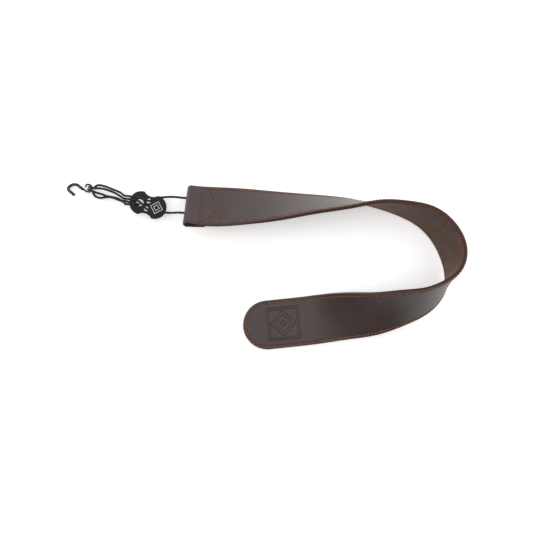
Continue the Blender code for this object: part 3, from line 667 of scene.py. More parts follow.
def write_mark(mesh, name, values):
    mark = mesh.attributes.new(name, "FLOAT", "POINT")
    mark.data.foreach_set("value", values.astype(np.float32).ravel())


def add_mesh_object(mesh, finish):
    thing = bpy.data.objects.new(mesh.name, mesh)
    bpy.context.collection.objects.link(thing)
    mesh.materials.append(finish)
    mesh.shade_smooth()
    return thing


# %% Braided tube
CORD_SIDES = 24
RING_STEP = 0.00028
BRAID_RELIEF = 0.00006


def carried_directions(line):
    """Two directions square to the line at each point, carried without twist."""
    ahead = unit(np.gradient(line, axis=0))
    side = np.cross((0.0, 0.0, 1.0), ahead[0])
    sides = []
    for way in ahead:
        side = unit(side - way * np.dot(side, way))
        sides.append(side)
    return np.array(sides), np.cross(ahead, sides)


def braided_cord(node, points):
    """A cord along the smooth line through points, with its centre line."""
    coarse = even_line(points, CORD_STEP)
    line = even_line(coarse, RING_STEP)
    run = run_length(line)
    sides, ups = carried_directions(line)
    turn = 2 * np.pi * np.arange(CORD_SIDES) / CORD_SIDES
    relief = np.cos(BRAID_TURN * turn) * np.cos(2 * np.pi * run / BRAID_LENGTH)[:, None]
    radius = CORD_RADIUS - BRAID_RELIEF + BRAID_RELIEF * relief
    places = (line[:, None] + sides[:, None] * (radius * np.cos(turn))[:, :, None]
              + ups[:, None] * (radius * np.sin(turn))[:, :, None])
    mesh = tube_mesh(node + "_braided", places)
    uv = np.stack(np.broadcast_arrays(turn / (2 * np.pi), run[:, None]), axis=-1)
    write_uv(mesh, uv, goes_round=True)
    cord = add_mesh_object(mesh, cord_finish)
    face_outwards(cord)
    hand_over(cord, node)
    print(node, "centre line, mm:", round(1000 * run[-1], 1))
    return cord, coarse


# %% Make the six runs
strap_loop, strap_loop_line = braided_cord("cord_strap_loop", strap_loop_route)
over_upper, _ = braided_cord("cord_over_upper", over_upper_route)
over_lower, _ = braided_cord("cord_over_lower", over_lower_route)
rim_bight, _ = braided_cord("cord_rim_bight", rim_bight_route)
upper_bight, upper_bight_line = braided_cord("hook_bight_upper", upper_bight_route)
lower_bight, lower_bight_line = braided_cord("hook_bight_lower", lower_bight_route)

# %% [markdown]
# ### What the cord follows
#
# The runs on the plate ride with the plate.  The loop through the strap and the
# two bights that hold the hook follow no body: they stay where they were made.

for run_on_plate in (over_upper, over_lower, rim_bight):
    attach(run_on_plate, "slider")
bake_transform(strap_loop)
for bight in (upper_bight, lower_bight):
    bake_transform(bight)

# %% [markdown]
# ## Leather finishes
#
# The outside is smooth-grained chrome leather: dark chocolate brown with a soft
# grey shine, tiny pebbles in the grain and faint creases across the strap.  The
# inside is suede, which has short fibres and no shine.  Both cut edges are dyed
# a deeper red brown and rubbed smooth.  A vertex attribute marks the cut edge,
# so its colour follows the leather wherever it goes.

# %% Grain leather
LEATHER_NOISE = 4.0                    # detail of the grain's patterns

face_finish, tree, shader = new_finish("grain_leather", (0.070, 0.052, 0.047), 0.42)
where = flat_places(tree)
cut_edge = marked(tree, "cut_edge")
clouds = noise(where, 28.0, LEATHER_NOISE)
fine = noise(where, 900.0, LEATHER_NOISE, 0.6)
pebbles = add_node(tree, "TexVoronoi", {"Vector": where, "Scale": 1150.0,
                                        "Randomness": 0.9}).outputs["Distance"]
creases = noise(stretched(where, (190.0, 30.0, 1.0)), 1.0, 5.0, 0.6)
brown = ramp(clouds, [(0.30, (0.046, 0.029, 0.025)), (0.55, (0.058, 0.039, 0.034)),
                      (0.75, (0.068, 0.048, 0.042))])
brown = mix_colours(times(fine, 0.45), brown, (0.032, 0.021, 0.019))
edge_brown = mix_colours(times(noise(where, 260.0), cut_edge), (0.042, 0.018, 0.014),
                         (0.085, 0.034, 0.024))
# Painted shade: the seams' channels and needle holes are painted darker, as the shade that falls
# in them.
SEAM_SHADOW = (0.012, 0.008, 0.007)
seam_shade_mask = times(marked(tree, "seam_hollow"), 0.9, clamp=True)
face_colour = mix_colours(cut_edge, mix_colours(seam_shade_mask, brown, SEAM_SHADOW), edge_brown)

# %% [markdown]
# ### The blind-tooled ornament
#
# The tail carries an ornament pressed into the damp leather with a warm tool:
# no colour, only hollow lines, which are painted a little darker as shade.
# Here it is a plain lozenge in a square frame.
# Each line is the edge of a shape, found from the distance to the middle of the
# ornament: the larger of |x| and |y| draws squares, their sum draws lozenges.

# %% Ornament pressed into the tail
ORNAMENT_AT = TAIL_CENTRE - 0.0165     # along the strap
ORNAMENT_HALF = 0.0165                 # half of the square frame
TOOL_WIDTH = 0.0007
FINE_TOOL_WIDTH = 0.0005

flat = split(where)
along_mark = apart(flat["X"], ORNAMENT_AT)
across_mark = calculate("ABSOLUTE", flat["Y"])
square = larger(along_mark, across_mark)
lozenge = plus(along_mark, across_mark)


def tool_line(distance, at, width=TOOL_WIDTH):
    """1 on the line where the distance is at, fading to 0 on both sides."""
    return add_node(distance.id_data, "MapRange", {
        "Value": apart(distance, at), "From Min": width, "From Max": 0.0},
        interpolation_type="SMOOTHSTEP").outputs["Result"]


pressed = tool_line(square, ORNAMENT_HALF)
for line in (tool_line(square, ORNAMENT_HALF - 0.0022, FINE_TOOL_WIDTH),
             tool_line(lozenge, ORNAMENT_HALF - 0.0035),
             tool_line(lozenge, ORNAMENT_HALF - 0.0075, FINE_TOOL_WIDTH),
             tool_line(lozenge, 0.0030, 0.0009)):
    pressed = larger(pressed, line)
# Painted shade: the tooled lines are painted a little darker, as the shade in their hollows.
face_colour = mix_colours(times(pressed, 0.22), face_colour, (0.034, 0.022, 0.020))

# %% [markdown]
# ### The half-moon seam's hollow, and the relief of the grain
#
# The half-moon seam pulls the leather down along its line.  Its hollow is drawn
# by the distance from the half-moon's centre, and only beyond the straight bar.
# This hollow and the bar's are painted darker as shade, and pressed into the relief.

# %% Relief of the grain leather
TAB_STRAIGHT = 0.0035
TAB_ROUND = 0.0135
SEAM_INSET = 0.003
TAB_RADIUS = (HALF_WIDTH ** 2 + TAB_ROUND ** 2) / (2 * TAB_ROUND)
TAB_CENTRE = BAR + TAB_STRAIGHT + TAB_ROUND - TAB_RADIUS
ARC_RADIUS = TAB_RADIUS - SEAM_INSET

from_centre = add_node(tree, "CombineXYZ", {
    0: calculate("SUBTRACT", flat["X"], TAB_CENTRE), 1: flat["Y"]}).outputs[0]
arc_distance = add_node(tree, "VectorMath", {0: from_centre},
                        operation="LENGTH").outputs["Value"]
SEAM_WIDTH = 0.0011
arc_hollow = times(tool_line(arc_distance, ARC_RADIUS, SEAM_WIDTH),
                   calculate("GREATER_THAN", flat["X"], BAR))
seams = larger(arc_hollow, tool_line(flat["X"], BAR, SEAM_WIDTH))
# Painted shade along the hollows of the half-moon and bar seams.
face_colour = mix_colours(times(seams, 0.75), face_colour, SEAM_SHADOW)

relief = bump(creases, 0.00012, 0.35)
relief = bump(pebbles, 0.00005, 0.55, relief)
relief = bump(fine, 0.00004, 0.5, relief)
relief = bump(calculate("SUBTRACT", 1.0, larger(pressed, seams)), 0.00045, 0.9, relief)
shine = plus(times(clouds, 0.14), times(fine, 0.12))
set_inputs(shader, {"Base Color": face_colour, "Normal": relief,
                    "Roughness": plus(shine, 0.29), "Specular IOR Level": 0.44,
                    "Sheen Weight": 0.06})

# %% [markdown]
# ### Suede
#
# Short fibres lie in all directions, some patches brushed one way and lighter.

# %% Suede
suede_finish, tree, shader = new_finish("suede_leather", (0.11, 0.073, 0.060), 0.9)
where = flat_places(tree)
brushed = noise(where, 60.0, 5.0, 0.62)
nap = noise(where, 1400.0, 3.0, 0.7)
fibres = noise(stretched(where, (2600.0, 700.0, 1.0), 0.5), 1.0)
suede = ramp(brushed, [(0.30, (0.052, 0.029, 0.020)), (0.50, (0.082, 0.048, 0.034)),
                       (0.70, (0.125, 0.080, 0.062))])
suede = mix_colours(times(nap, 0.55), suede, (0.062, 0.036, 0.029))
# Painted shade in the seams' channels and needle holes.
suede = mix_colours(times(marked(tree, "seam_hollow"), 0.8), suede, (0.030, 0.017, 0.013))
suede = mix_colours(marked(tree, "cut_edge"), suede, (0.060, 0.024, 0.017))
relief = bump(brushed, 0.00025, 0.35)
relief = bump(nap, 0.00012, 0.8, relief)
relief = bump(fibres, 0.00006, 0.6, relief)
set_inputs(shader, {"Base Color": suede, "Normal": relief, "Roughness": span(nap, 0.82, 0.98),
                    "Sheen Weight": 0.22, "Sheen Roughness": 0.6,
                    "Sheen Tint": (0.75, 0.58, 0.50, 1.0), "Specular IOR Level": 0.25})

# %% [markdown]
# ## The leather layers
#
# A strap like this is cut flat, so it is modelled flat: as a row of closed cross
# sections with rounded corners and a pressed channel where each seam runs.  At
# the tail the sections close like a fan, and at the other end they go round the
# cord and end in a half moon.  Then every point is laid along the strap's route.
# A cloth simulation would be no help here, because this leather is thick and
# keeps the curve that it was given.

# %% Cross section of one layer
CHANNEL_DEPTH = 0.00030
CHANNEL_HALF = 0.0011
HOLE_DEPTH = 0.00028
BAND = SEAM_INSET + 0.0014             # the strip beside an edge that follows its curve
SEAM_AT = HALF_WIDTH - SEAM_INSET
CORNER = 0.00045
SOFT_CORNER = 0.00015


def section_points():
    """One closed section: (across, depth below the outer side, cut edge share)."""
    band = [(-HALF_WIDTH + CORNER * (1 - math.cos(a)), CORNER * (1 - math.sin(a)),
             1.0 - 0.7 * k / 3)
            for k, a in enumerate(math.radians(d) for d in (0, 30, 60, 90))]
    band += [(-HALF_WIDTH + 0.0011, 0.0, 0.0)]
    band += [(-SEAM_AT + off * CHANNEL_HALF, 0.0, 0.0)
             for off in (-1.0, -0.6, -0.3, 0.0, 0.3, 0.6, 1.0)]
    middle = [(across, 0.0, 0.0) for across in np.linspace(-HALF_WIDTH + BAND,
                                                           HALF_WIDTH - BAND, 17)]
    outer = band + middle + [(-a, d, e) for a, d, e in reversed(band)]
    inner_half = [(HALF_WIDTH, LEATHER - SOFT_CORNER, 1.0),
                  (HALF_WIDTH - SOFT_CORNER, LEATHER, 1.0),
                  (HALF_WIDTH - 0.0012, LEATHER, 0.0), (HALF_WIDTH - BAND, LEATHER, 0.0),
                  (HALF_WIDTH / 2, LEATHER, 0.0)]
    inner = inner_half + [(0.0, LEATHER, 0.0)] + [(-a, d, e) for a, d, e in reversed(inner_half)]
    return np.array(outer + inner)


SECTION = section_points()


def channel(across, at_hole):
    """How deep the seam's channel is pressed at each place of a section."""
    off = np.clip(np.abs(np.abs(across) - SEAM_AT) / CHANNEL_HALF, 0, 1)
    shape = np.cos(off * np.pi / 2) ** 2
    tight = np.clip(off * 2, 0, 1)
    return CHANNEL_DEPTH * shape + HOLE_DEPTH * at_hole * np.cos(tight * np.pi / 2) ** 2


# %% [markdown]
# ### Rows of sections
#
# A row says where the layer's middle is, along the strap and in height, and
# which way its outer side faces.  The seam's pitch is divided in four rows, so
# each stitch hole has a row of its own and its own dimple.

# %% Stitch pitch and rows
RIM_SEAM_START = BAR + 0.003
BOBBIN_START = BAR + 0.0135
TAIL_STITCHES = 23                     # round the tail, from side to side
ROWS_EACH = 4                          # rows for each stitch
WANTED_PITCH = 0.003
UP = math.pi / 2                       # the angle at which a section faces up

straight_stitches = round((TAIL_CENTRE - RIM_SEAM_START) / WANTED_PITCH)
PITCH = (TAIL_CENTRE - RIM_SEAM_START) / straight_stitches
tail_rows = round(TAIL_STITCHES * ROWS_EACH / 2)
print("stitches down each side:", straight_stitches, "pitch, mm:", round(1000 * PITCH, 3))


def section_row(holes, pressed):
    """Across, depth, cut edge and seam shade of a section, with its channels."""
    across, depth, edge = SECTION.T
    outer = depth < LEATHER / 2
    deep = channel(across, holes) * outer * pressed
    return across, depth + deep, edge, deep / (CHANNEL_DEPTH + HOLE_DEPTH)


def plain_row(along, height, facing, holes=0.0, pressed=True, developed=None):
    """A straight section; facing is the angle of its outer side."""
    across, depth, edge, groove = section_row(holes, pressed)
    rise = LEATHER / 2 - depth
    flat = np.stack([along + rise * math.cos(facing), across,
                     height + rise * math.sin(facing)], axis=1)
    uv = np.stack([np.full(len(across), along if developed is None else developed), across],
                  axis=1)
    return flat, uv, edge, groove


def round_row(centre, radius, wide, height, facing, holes=0.0, pressed=True, sign=1.0):
    """A section bent to follow a round end: wide is the angle from the middle line."""
    across, depth, edge, groove = section_row(holes, pressed)
    rise = (LEATHER / 2 - depth) * facing
    inner = HALF_WIDTH - BAND
    past = np.maximum(np.abs(across) - inner, 0)
    reach = radius - BAND + past
    share = np.clip(np.abs(across) / inner, 0, 1)
    along = centre + reach * math.cos(wide)
    side = np.sign(across) * share * reach * math.sin(wide)
    flat = np.stack([along, side, height + rise], axis=1)
    uv = np.stack([sign * along, side], axis=1)
    return flat, uv, edge, groove


def strap_rows(height, facing):
    """Rows from the seam's start to the tail's tip; facing is 1 up or -1 down."""
    straight = [plain_row(RIM_SEAM_START + k * PITCH / ROWS_EACH, height, facing * UP,
                          holes=float(k % ROWS_EACH == 0))
                for k in range(straight_stitches * ROWS_EACH + 1)]
    tail = [round_row(TAIL_CENTRE, HALF_WIDTH, UP * (1 - k / tail_rows), height, facing,
                      holes=float(k % ROWS_EACH == 0)) for k in range(1, tail_rows + 1)]
    return straight + tail


# %% [markdown]
# ### The fold and the half-moon tab
#
# The grain leather leaves the bar, swings round the cord in a small round and
# comes back underneath, where its end is cut to a half moon.

# %% Rows of the fold and the tab
FOLD_ROWS = 40
TAB_ROWS = 24
LEG_SHARES = (0.15, 0.3, 0.45, 0.6, 0.75, 0.9)   # rows from the bar to the round


def fold_rows():
    """Rows from the bar underneath, round the end, to the bar on top."""
    reach = math.hypot(BAR - FOLD_AT, FACE_MIDDLE - FOLD_HEIGHT)
    first = (math.atan2(FACE_MIDDLE - FOLD_HEIGHT, BAR - FOLD_AT)
             + math.acos(FOLD_RADIUS / reach))
    touch = (FOLD_AT + FOLD_RADIUS * math.cos(first), FOLD_RADIUS * math.sin(first))

    def leg(share, middle, end, facing):
        return BAR + (touch[0] - BAR) * share, middle + (end - middle) * share, facing

    profile = [(BAR, TAB_MIDDLE, -UP)]
    profile += [leg(share, TAB_MIDDLE, FOLD_HEIGHT - touch[1], -first) for share in LEG_SHARES]
    for k in range(FOLD_ROWS + 1):
        turn = -first - (2 * math.pi - 2 * first) * k / FOLD_ROWS
        profile.append((FOLD_AT + FOLD_RADIUS * math.cos(turn),
                        FOLD_HEIGHT + FOLD_RADIUS * math.sin(turn), turn))
    profile += [leg(share, FACE_MIDDLE, FOLD_HEIGHT + touch[1], first - 2 * math.pi)
                for share in reversed(LEG_SHARES)]
    profile.append((BAR, FACE_MIDDLE, UP))
    steps = np.hypot(*np.diff(np.array([p[:2] for p in profile]), axis=0).T)
    back = np.concatenate([np.cumsum(steps[::-1])[::-1], [0.0]])
    return [plain_row(along, height, facing, pressed=False, developed=BAR - distance)
            for (along, height, facing), distance in zip(profile, back)]


def tab_rows():
    """Rows from the tip of the half moon back to the bar."""
    widest = math.asin(HALF_WIDTH / TAB_RADIUS)
    rows = [round_row(TAB_CENTRE, TAB_RADIUS, widest * k / TAB_ROWS, TAB_MIDDLE, -1,
                      pressed=False, sign=-1.0) for k in range(1, TAB_ROWS)]
    return rows + [plain_row(BAR + TAB_STRAIGHT * share, TAB_MIDDLE, -UP, pressed=False,
                             developed=-BAR - TAB_STRAIGHT * share) for share in (0.8, 0.4)]


# %% Skin the rows
def leather_layer(node, rows, finish):
    """Lay the rows along the strap, join them and give them to their node."""
    flat, uv, cut_edge, seam_hollow = (np.array(part) for part in zip(*rows))
    laid = route.lay(flat.reshape(-1, 3)).reshape(flat.shape)
    mesh = tube_mesh(node + "_leather", laid)
    write_uv(mesh, uv)
    write_mark(mesh, "cut_edge", cut_edge)
    write_mark(mesh, "seam_hollow", seam_hollow)
    layer = add_mesh_object(mesh, finish)
    face_outwards(layer, merge=True)
    hand_over(layer, node, "strap")
    print(node, "faces:", len(layer.data.polygons))
    return layer


bar_rows = [plain_row(BAR + step, FACE_MIDDLE, UP, pressed=step > 0.0012)
            for step in (0.0006, 0.0012, 0.0018, 0.0024)]
face_rows = tab_rows() + fold_rows() + bar_rows + strap_rows(FACE_MIDDLE, 1)
face = leather_layer("strap_face", face_rows, face_finish)

LINING_START = BAR - 0.002
lining_lead = [plain_row(LINING_START + step, -FACE_MIDDLE, -UP, pressed=False)
               for step in (0.0, 0.0015, 0.0030)]
lining_rows = lining_lead + strap_rows(-FACE_MIDDLE, -1)
lining = leather_layer("strap_lining", lining_rows, suede_finish)

# %% [markdown]
# ### Cord holes
#
# Two holes are punched through the round of the fold, and the cord leaves the
# strap through them.  A punch is a plain cylinder, taken out of the leather.

# %% Punch the cord holes
PUNCH_FROM, PUNCH_TO = -0.002, 0.0036  # along the strap

for side in (1, -1):
    start, end = (in_strap(along, side * CORD_HOLE_SPREAD, FOLD_HEIGHT)
                  for along in (PUNCH_FROM, PUNCH_TO))
    cut_out(face, add_primitive(
        "cylinder", "hole_punch", vertices=28, radius=CORD_HOLE_DIAMETER / 2,
        depth=(end - start).length, location=(start + end) / 2,
        rotation=(end - start).to_track_quat("Z", "Y").to_euler()))

# %% [markdown]
# ## Thread
#
# The seams are sewn with waxed polyester thread in a bright red brown.  A
# lockstitch shows one short, slightly slanted bead of thread between each pair
# of holes, on both sides of the leather.  Each bead differs a little in shade,
# which comes from an attribute, and its plies show as slanted ridges.

# %% Thread finish
thread_finish, tree, shader = new_finish("sewing_thread", (0.30, 0.10, 0.05), 0.6)
plies = add_node(tree, "TexWave", {"Vector": flat_places(tree), "Scale": 1.6,
                                   "Distortion": 0.6, "Detail": 2.0},
                 wave_type="BANDS", bands_direction="DIAGONAL").outputs["Fac"]
fuzz = noise(object_places(tree), 5200.0)
thread_tone = ramp(marked(tree, "shade"), [
    (0.0, (0.240, 0.052, 0.024)), (0.5, (0.380, 0.092, 0.036)), (1.0, (0.540, 0.165, 0.056))])
set_inputs(shader, {
    "Base Color": mix_colours(times(plies, 0.5), thread_tone, (0.105, 0.028, 0.016)),
    "Normal": bump(fuzz, 0.00004, 0.5, bump(plies, 0.00010, 0.8)),
    "Roughness": span(fuzz, 0.45, 0.68)})

# %% [markdown]
# ### One stitch, copied along the seams
#
# The bead is a round primitive, drawn out along the seam and bent down at both
# ends, where it goes into its holes.  It has few faces, because there are more
# than seven hundred of it.

# %% Model one stitch
STITCH_RADIUS = 0.00058
STITCH_SIZE = (PITCH * 0.38, STITCH_RADIUS, STITCH_RADIUS * 0.8)
STITCH_SAG = 0.00050                   # how far its ends bend down
PLY_TURNS = 6                          # ridges along one pitch
STITCH_SLANT = math.radians(9)

stitch = add_primitive("uv_sphere", "stitch", segments=8, ring_count=7, radius=1.0)
with editing(stitch):
    bpy.ops.transform.rotate(value=math.pi / 2, orient_axis="Y", center_override=(0, 0, 0))
    bpy.ops.transform.resize(value=STITCH_SIZE)
stitch_places = np.array([v.co for v in stitch.data.vertices])
stitch_places[:, 2] -= STITCH_SAG * (stitch_places[:, 0] / (PITCH / 2)) ** 2
stitch_faces = [tuple(p.vertices) for p in stitch.data.polygons]
stitch_uv = np.stack([stitch_places[:, 0] / PITCH * PLY_TURNS,
                      np.arctan2(stitch_places[:, 2], stitch_places[:, 1])], axis=1)
bpy.data.objects.remove(stitch, do_unlink=True)


def sew(node, stitches, facing):
    """Copy the stitch to each (along, across, angle of the seam, height)."""
    name = node + "_stitches"
    chance = np.random.default_rng(len(name) + len(stitches))
    places, faces, shades = [], [], []
    for k, (along, across, angle, height) in enumerate(stitches):
        turn = angle + STITCH_SLANT * facing + chance.normal(0, 0.03)
        bead = stitch_places * (1 + chance.normal(0, 0.03), 1 + chance.normal(0, 0.05), 1)
        x = along + bead[:, 0] * math.cos(turn) - bead[:, 1] * math.sin(turn)
        y = across + bead[:, 0] * math.sin(turn) + bead[:, 1] * math.cos(turn)
        places.append(np.stack([x, y, height + facing * bead[:, 2]], axis=1))
        faces += [tuple(v + k * len(bead) for v in face) for face in stitch_faces]
        shades.append(np.full(len(bead), np.clip(chance.normal(0.5, 0.22), 0, 1)))
    mesh = bpy.data.meshes.new(name)
    mesh.from_pydata(route.lay(np.concatenate(places)).tolist(), [], faces)
    write_uv(mesh, np.tile(stitch_uv, (len(stitches), 1)))
    write_mark(mesh, "shade", np.concatenate(shades))
    seam = add_mesh_object(mesh, thread_finish)
    face_outwards(seam)
    hand_over(seam, node, "strap")
    print(node, "stitches:", len(stitches))


# %% [markdown]
# ### The three seams, each on both sides
#
# The rim seam runs down one edge, round the tail and back.  The bar closes the
# fold, and the half moon holds the tab.  Underneath, the rim seam begins past
# the tab, because the tab covers its first stitches.

# %% Sew the seams
BAR_SEAM_SHORT = 0.0016                # how far these two stop short of the rim seam
ARC_SEAM_SHORT = 0.0032
LIFT_IN_CHANNEL = 0.00044
LIFT_ON_TOP = 0.00022


def rim_stitches(start, height):
    found = [(RIM_SEAM_START + (k + 0.5) * PITCH, side * SEAM_AT, 0.0, height)
             for side in (-1, 1) for k in range(straight_stitches)
             if RIM_SEAM_START + k * PITCH >= start - 1e-6]
    for k in range(TAIL_STITCHES):
        wide = math.pi * ((k + 0.5) / TAIL_STITCHES - 0.5)
        found.append((TAIL_CENTRE + SEAM_AT * math.cos(wide), SEAM_AT * math.sin(wide),
                      wide + UP, height))
    return found


def bar_stitches(height):
    reach = SEAM_AT - BAR_SEAM_SHORT
    count = round(2 * reach / WANTED_PITCH)
    return [(BAR, -reach + (k + 0.5) * 2 * reach / count, UP, height) for k in range(count)]


def half_moon_stitches(height):
    widest = math.asin((SEAM_AT - ARC_SEAM_SHORT) / ARC_RADIUS)
    count = round(2 * widest * ARC_RADIUS / WANTED_PITCH)
    angles = [widest * (2 * (k + 0.5) / count - 1) for k in range(count)]
    return [(TAB_CENTRE + ARC_RADIUS * math.cos(a), ARC_RADIUS * math.sin(a), a + UP, height)
            for a in angles]


RIM_STITCH_HEIGHT = HALF_THICKNESS - CHANNEL_DEPTH + LIFT_IN_CHANNEL
TOP_HEIGHT = HALF_THICKNESS + LIFT_ON_TOP
TAB_HEIGHT = TAB_MIDDLE - LEATHER / 2 - LIFT_ON_TOP
sew("rim_top_thread", rim_stitches(0.0, RIM_STITCH_HEIGHT), 1)
sew("rim_bobbin_thread", rim_stitches(BOBBIN_START, -RIM_STITCH_HEIGHT), -1)
sew("bar_top_thread", bar_stitches(TOP_HEIGHT), 1)
sew("bar_bobbin_thread", bar_stitches(TAB_HEIGHT), -1)
sew("arc_top_thread", half_moon_stitches(TOP_HEIGHT), 1)
sew("arc_bobbin_thread", half_moon_stitches(TAB_HEIGHT), -1)

# %% [markdown]
# ## Slider plate
#
# The plate is cut from a sheet of hard matt plastic, in the outline of a figure
# of eight, with three cord holes.  It starts as a filled circle whose points are
# moved to the outline, is pulled up to its thickness, and its rim is bevelled.
# The outline is two round lobes with a hollow arc between them on each side.

# %% Outline of the plate
LOBE_SPACING = 0.0142
LOBE_RADIUS = 0.0120
WAIST_WIDTH = 0.0180

lobe_at = LOBE_SPACING / 2
waist_dip = LOBE_RADIUS - WAIST_WIDTH / 2
hollow_radius = (lobe_at ** 2 + waist_dip ** 2) / (2 * waist_dip)
hollow_sweep = math.asin(lobe_at / hollow_radius)
hollow_centre = LOBE_RADIUS - waist_dip + hollow_radius


def plate_outline(lobe_steps=48, hollow_steps=16):
    points = []
    for side in (1, -1):
        for k in range(lobe_steps + 1):
            angle = side * math.pi / 2 * (2 * k / lobe_steps - 1)
            points.append((side * (lobe_at + LOBE_RADIUS * math.cos(angle)),
                           LOBE_RADIUS * math.sin(angle)))
        for k in range(1, hollow_steps):
            angle = hollow_sweep * (1 - 2 * k / hollow_steps)
            points.append((side * hollow_radius * math.sin(angle),
                           side * (hollow_centre - hollow_radius * math.cos(angle))))
    return points


# %% Pull up the plate and round its rim
EDGE_ROUND = 0.0006

outline = plate_outline()
plate = add_primitive("circle", "slider_plate_shaped", vertices=len(outline),
                      radius=LOBE_RADIUS, fill_type="NGON")
for vertex, (along, across) in zip(plate.data.vertices, outline):
    vertex.co = (along, across, -PLATE_THICKNESS / 2)
with editing(plate):
    pull_up(PLATE_THICKNESS)
apply_modifier(plate, "BEVEL", width=EDGE_ROUND, segments=4, limit_method="ANGLE",
               angle_limit=math.radians(60))

# %% [markdown]
# ### Holes with softened mouths
#
# The holes are drilled with cylinders.  A second bevel, on the mouths alone, is
# what keeps the cord from being cut.

# %% Drill the plate
MOUTH_ROUND = 0.0003
PLATE_HOLES = (ANCHOR_HOLE, UPPER_HOLE, LOWER_HOLE)


def at_mouth(ends):
    """True if an edge of the plate lies on the mouth of a hole."""
    return all(abs(abs(p.z) - PLATE_THICKNESS / 2) < 1e-6 for p in ends) and any(
        all(abs(math.hypot(p.x - along, p.y - across) - radius) < 2e-5 for p in ends)
        for along, across, radius in PLATE_HOLES)


for along, across, radius in PLATE_HOLES:
    cut_out(plate, add_primitive("cylinder", "drill", vertices=48, radius=radius,
                                 depth=3 * PLATE_THICKNESS, location=(along, across, 0)))

with editing_edges(plate, at_mouth):
    bpy.ops.mesh.bevel(offset=MOUTH_ROUND, segments=3)


def put_on_plate(thing):
    """Turn and place a piece that was made lying at the origin."""
    thing.location = PLATE_CENTRE
    thing.rotation_euler = (0, 0, PLATE_TURN)
    settle_in_mesh(thing)


put_on_plate(plate)
smooth_by_angle(plate, 40)

# %% [markdown]
# ### Plate finish
#
# The plastic has a fine moulded texture that takes the shine off.  Handling has
# left hair-thin scratches, and the cord has polished the surface where it rubs.

# %% Plate finish
plate_finish, tree, shader = new_finish("slider_plastic", (0.020, 0.020, 0.018), 0.55)
place = object_places(tree)
grit = noise(place, 3800.0, 3.0, 0.6)
patches = noise(place, 120.0)
drawn = stretched(place, (140.0, 2600.0, 300.0), 0.7)
scratches = calculate("POWER", noise(drawn, 1.0, 2.0), 7.0)
dark = ramp(patches, [(0.30, (0.007, 0.007, 0.006)), (0.70, (0.014, 0.014, 0.012))])
set_inputs(shader, {
    "Base Color": mix_colours(times(scratches, 1.0, clamp=True), dark, (0.075, 0.075, 0.070)),
    "Roughness": span(patches, 0.42, 0.62), "Specular IOR Level": 0.2,
    "Normal": bump(scratches, 0.00003, 0.3, bump(grit, 0.00004, 0.5))})
hand_over(plate, "slider_plate", "slider", plate_finish)

# %% [markdown]
# ### Silver ornament on the plate
#
# A plain ornament is foil-printed in silver: an open lozenge with a smaller one
# inside it.  Each is a four-sided circle with its middle inset and taken out, so
# that a line of even width is left, pulled up to the thickness of the print.

# %% Silver ornament
PRINT_BASE = PLATE_THICKNESS / 2 + 0.00002
PRINT_THICKNESS = 0.00012
EMBLEM_CENTRE = (0.0093, 0.0)

print_finish, tree, shader = new_finish("silver_print", (0.62, 0.60, 0.54), 0.34, 0.55)
flakes = noise(object_places(tree), 4200.0, 2.0)
rubbed = noise(object_places(tree), 700.0, 4.0, 0.65)
silver = ramp(rubbed, [(0.28, (0.30, 0.29, 0.26)), (0.42, (0.60, 0.58, 0.52)),
                       (0.75, (0.78, 0.76, 0.70))])
set_inputs(shader, {"Base Color": silver, "Roughness": span(rubbed, 0.28, 0.50),
                    "Normal": bump(flakes, 0.00002, 0.5)})


def printed_lozenge(name, reach, line):
    """An open frame: a lozenge whose middle is inset and deleted."""
    shape = add_primitive("circle", name, vertices=4, radius=reach, fill_type="NGON",
                          location=(*EMBLEM_CENTRE, PRINT_BASE))
    with editing(shape):
        bpy.ops.mesh.inset(thickness=line)
        bpy.ops.mesh.delete(type="FACE")
        bpy.ops.mesh.select_all(action="SELECT")
        pull_up(PRINT_THICKNESS)
    settle_in_mesh(shape)
    return shape


emblem = printed_lozenge("slider_emblem_shaped", 0.0066, 0.00045)
inner = printed_lozenge("inner_lozenge", 0.0034, 0.00040)
only(emblem)
inner.select_set(True)
bpy.ops.object.join()
put_on_plate(emblem)
hand_over(emblem, "slider_emblem", "slider", print_finish)

# %% [markdown]
# ## Hook
#
# The hook is spring wire: bent to an eye at one end and to an open bend at the
# other.  The bend was dipped in soft vinyl, so that it can't scratch what it
# holds.  Both are round bars along a line, drawn as curves and then made meshes.
# The dip is a little fuller at its closed tip, and thins out where the wire
# goes in.

# %% Round bar along a line
def round_bar(name, points, radii, sides=4):
    """A bar along points with a radius at each; its tips are closed."""
    curve = bpy.data.curves.new(name, "CURVE")
    curve.dimensions = "3D"
    curve.bevel_depth = 1.0
    curve.bevel_resolution = sides
    curve.use_fill_caps = True
    spline = curve.splines.new("POLY")
    spline.points.add(len(points) - 1)
    for slot, point, radius in zip(spline.points, points, radii):
        slot.co = (*point, 1.0)
        slot.radius = radius
    bar = bpy.data.objects.new(name, curve)
    bpy.context.collection.objects.link(bar)
    only(bar)
    bpy.ops.object.convert(target="MESH")
    bar = bpy.context.active_object
    face_outwards(bar, merge=True)
    smooth_by_angle(bar, 50)
    return bar


# %% Coated bend
COATING_RADIUS = 0.00145
HOOK_LIE = 0.0017
SHANK_POINTS = 6
HOOK_LINE = ((-0.1884, 0.1390), (-0.1898, 0.1397), (-0.1923, 0.1416), (-0.1949, 0.1435),
             (-0.1977, 0.1443), (-0.2006, 0.1438), (-0.2031, 0.1423), (-0.2046, 0.1402),
             (-0.2038, 0.1380), (-0.2018, 0.1363), (-0.1991, 0.1339))
hook_drop = HOOK_LIE - EYE_BAR[2]
hook_places = [(x, y, EYE_BAR[2] + hook_drop * min(1, k / SHANK_POINTS))
               for k, (x, y) in enumerate(HOOK_LINE)]
bend_line = even_line(hook_places, 0.0003)
bend_run = run_length(bend_line)
from_tip = bend_run[-1] - bend_run
tip_way = unit(bend_line[-1] - bend_line[-2])
dome = [(bend_line[-1] + tip_way * COATING_RADIUS * math.sin(a), math.cos(a))
        for a in np.radians([12, 24, 36, 48, 60, 70, 80, 88])]
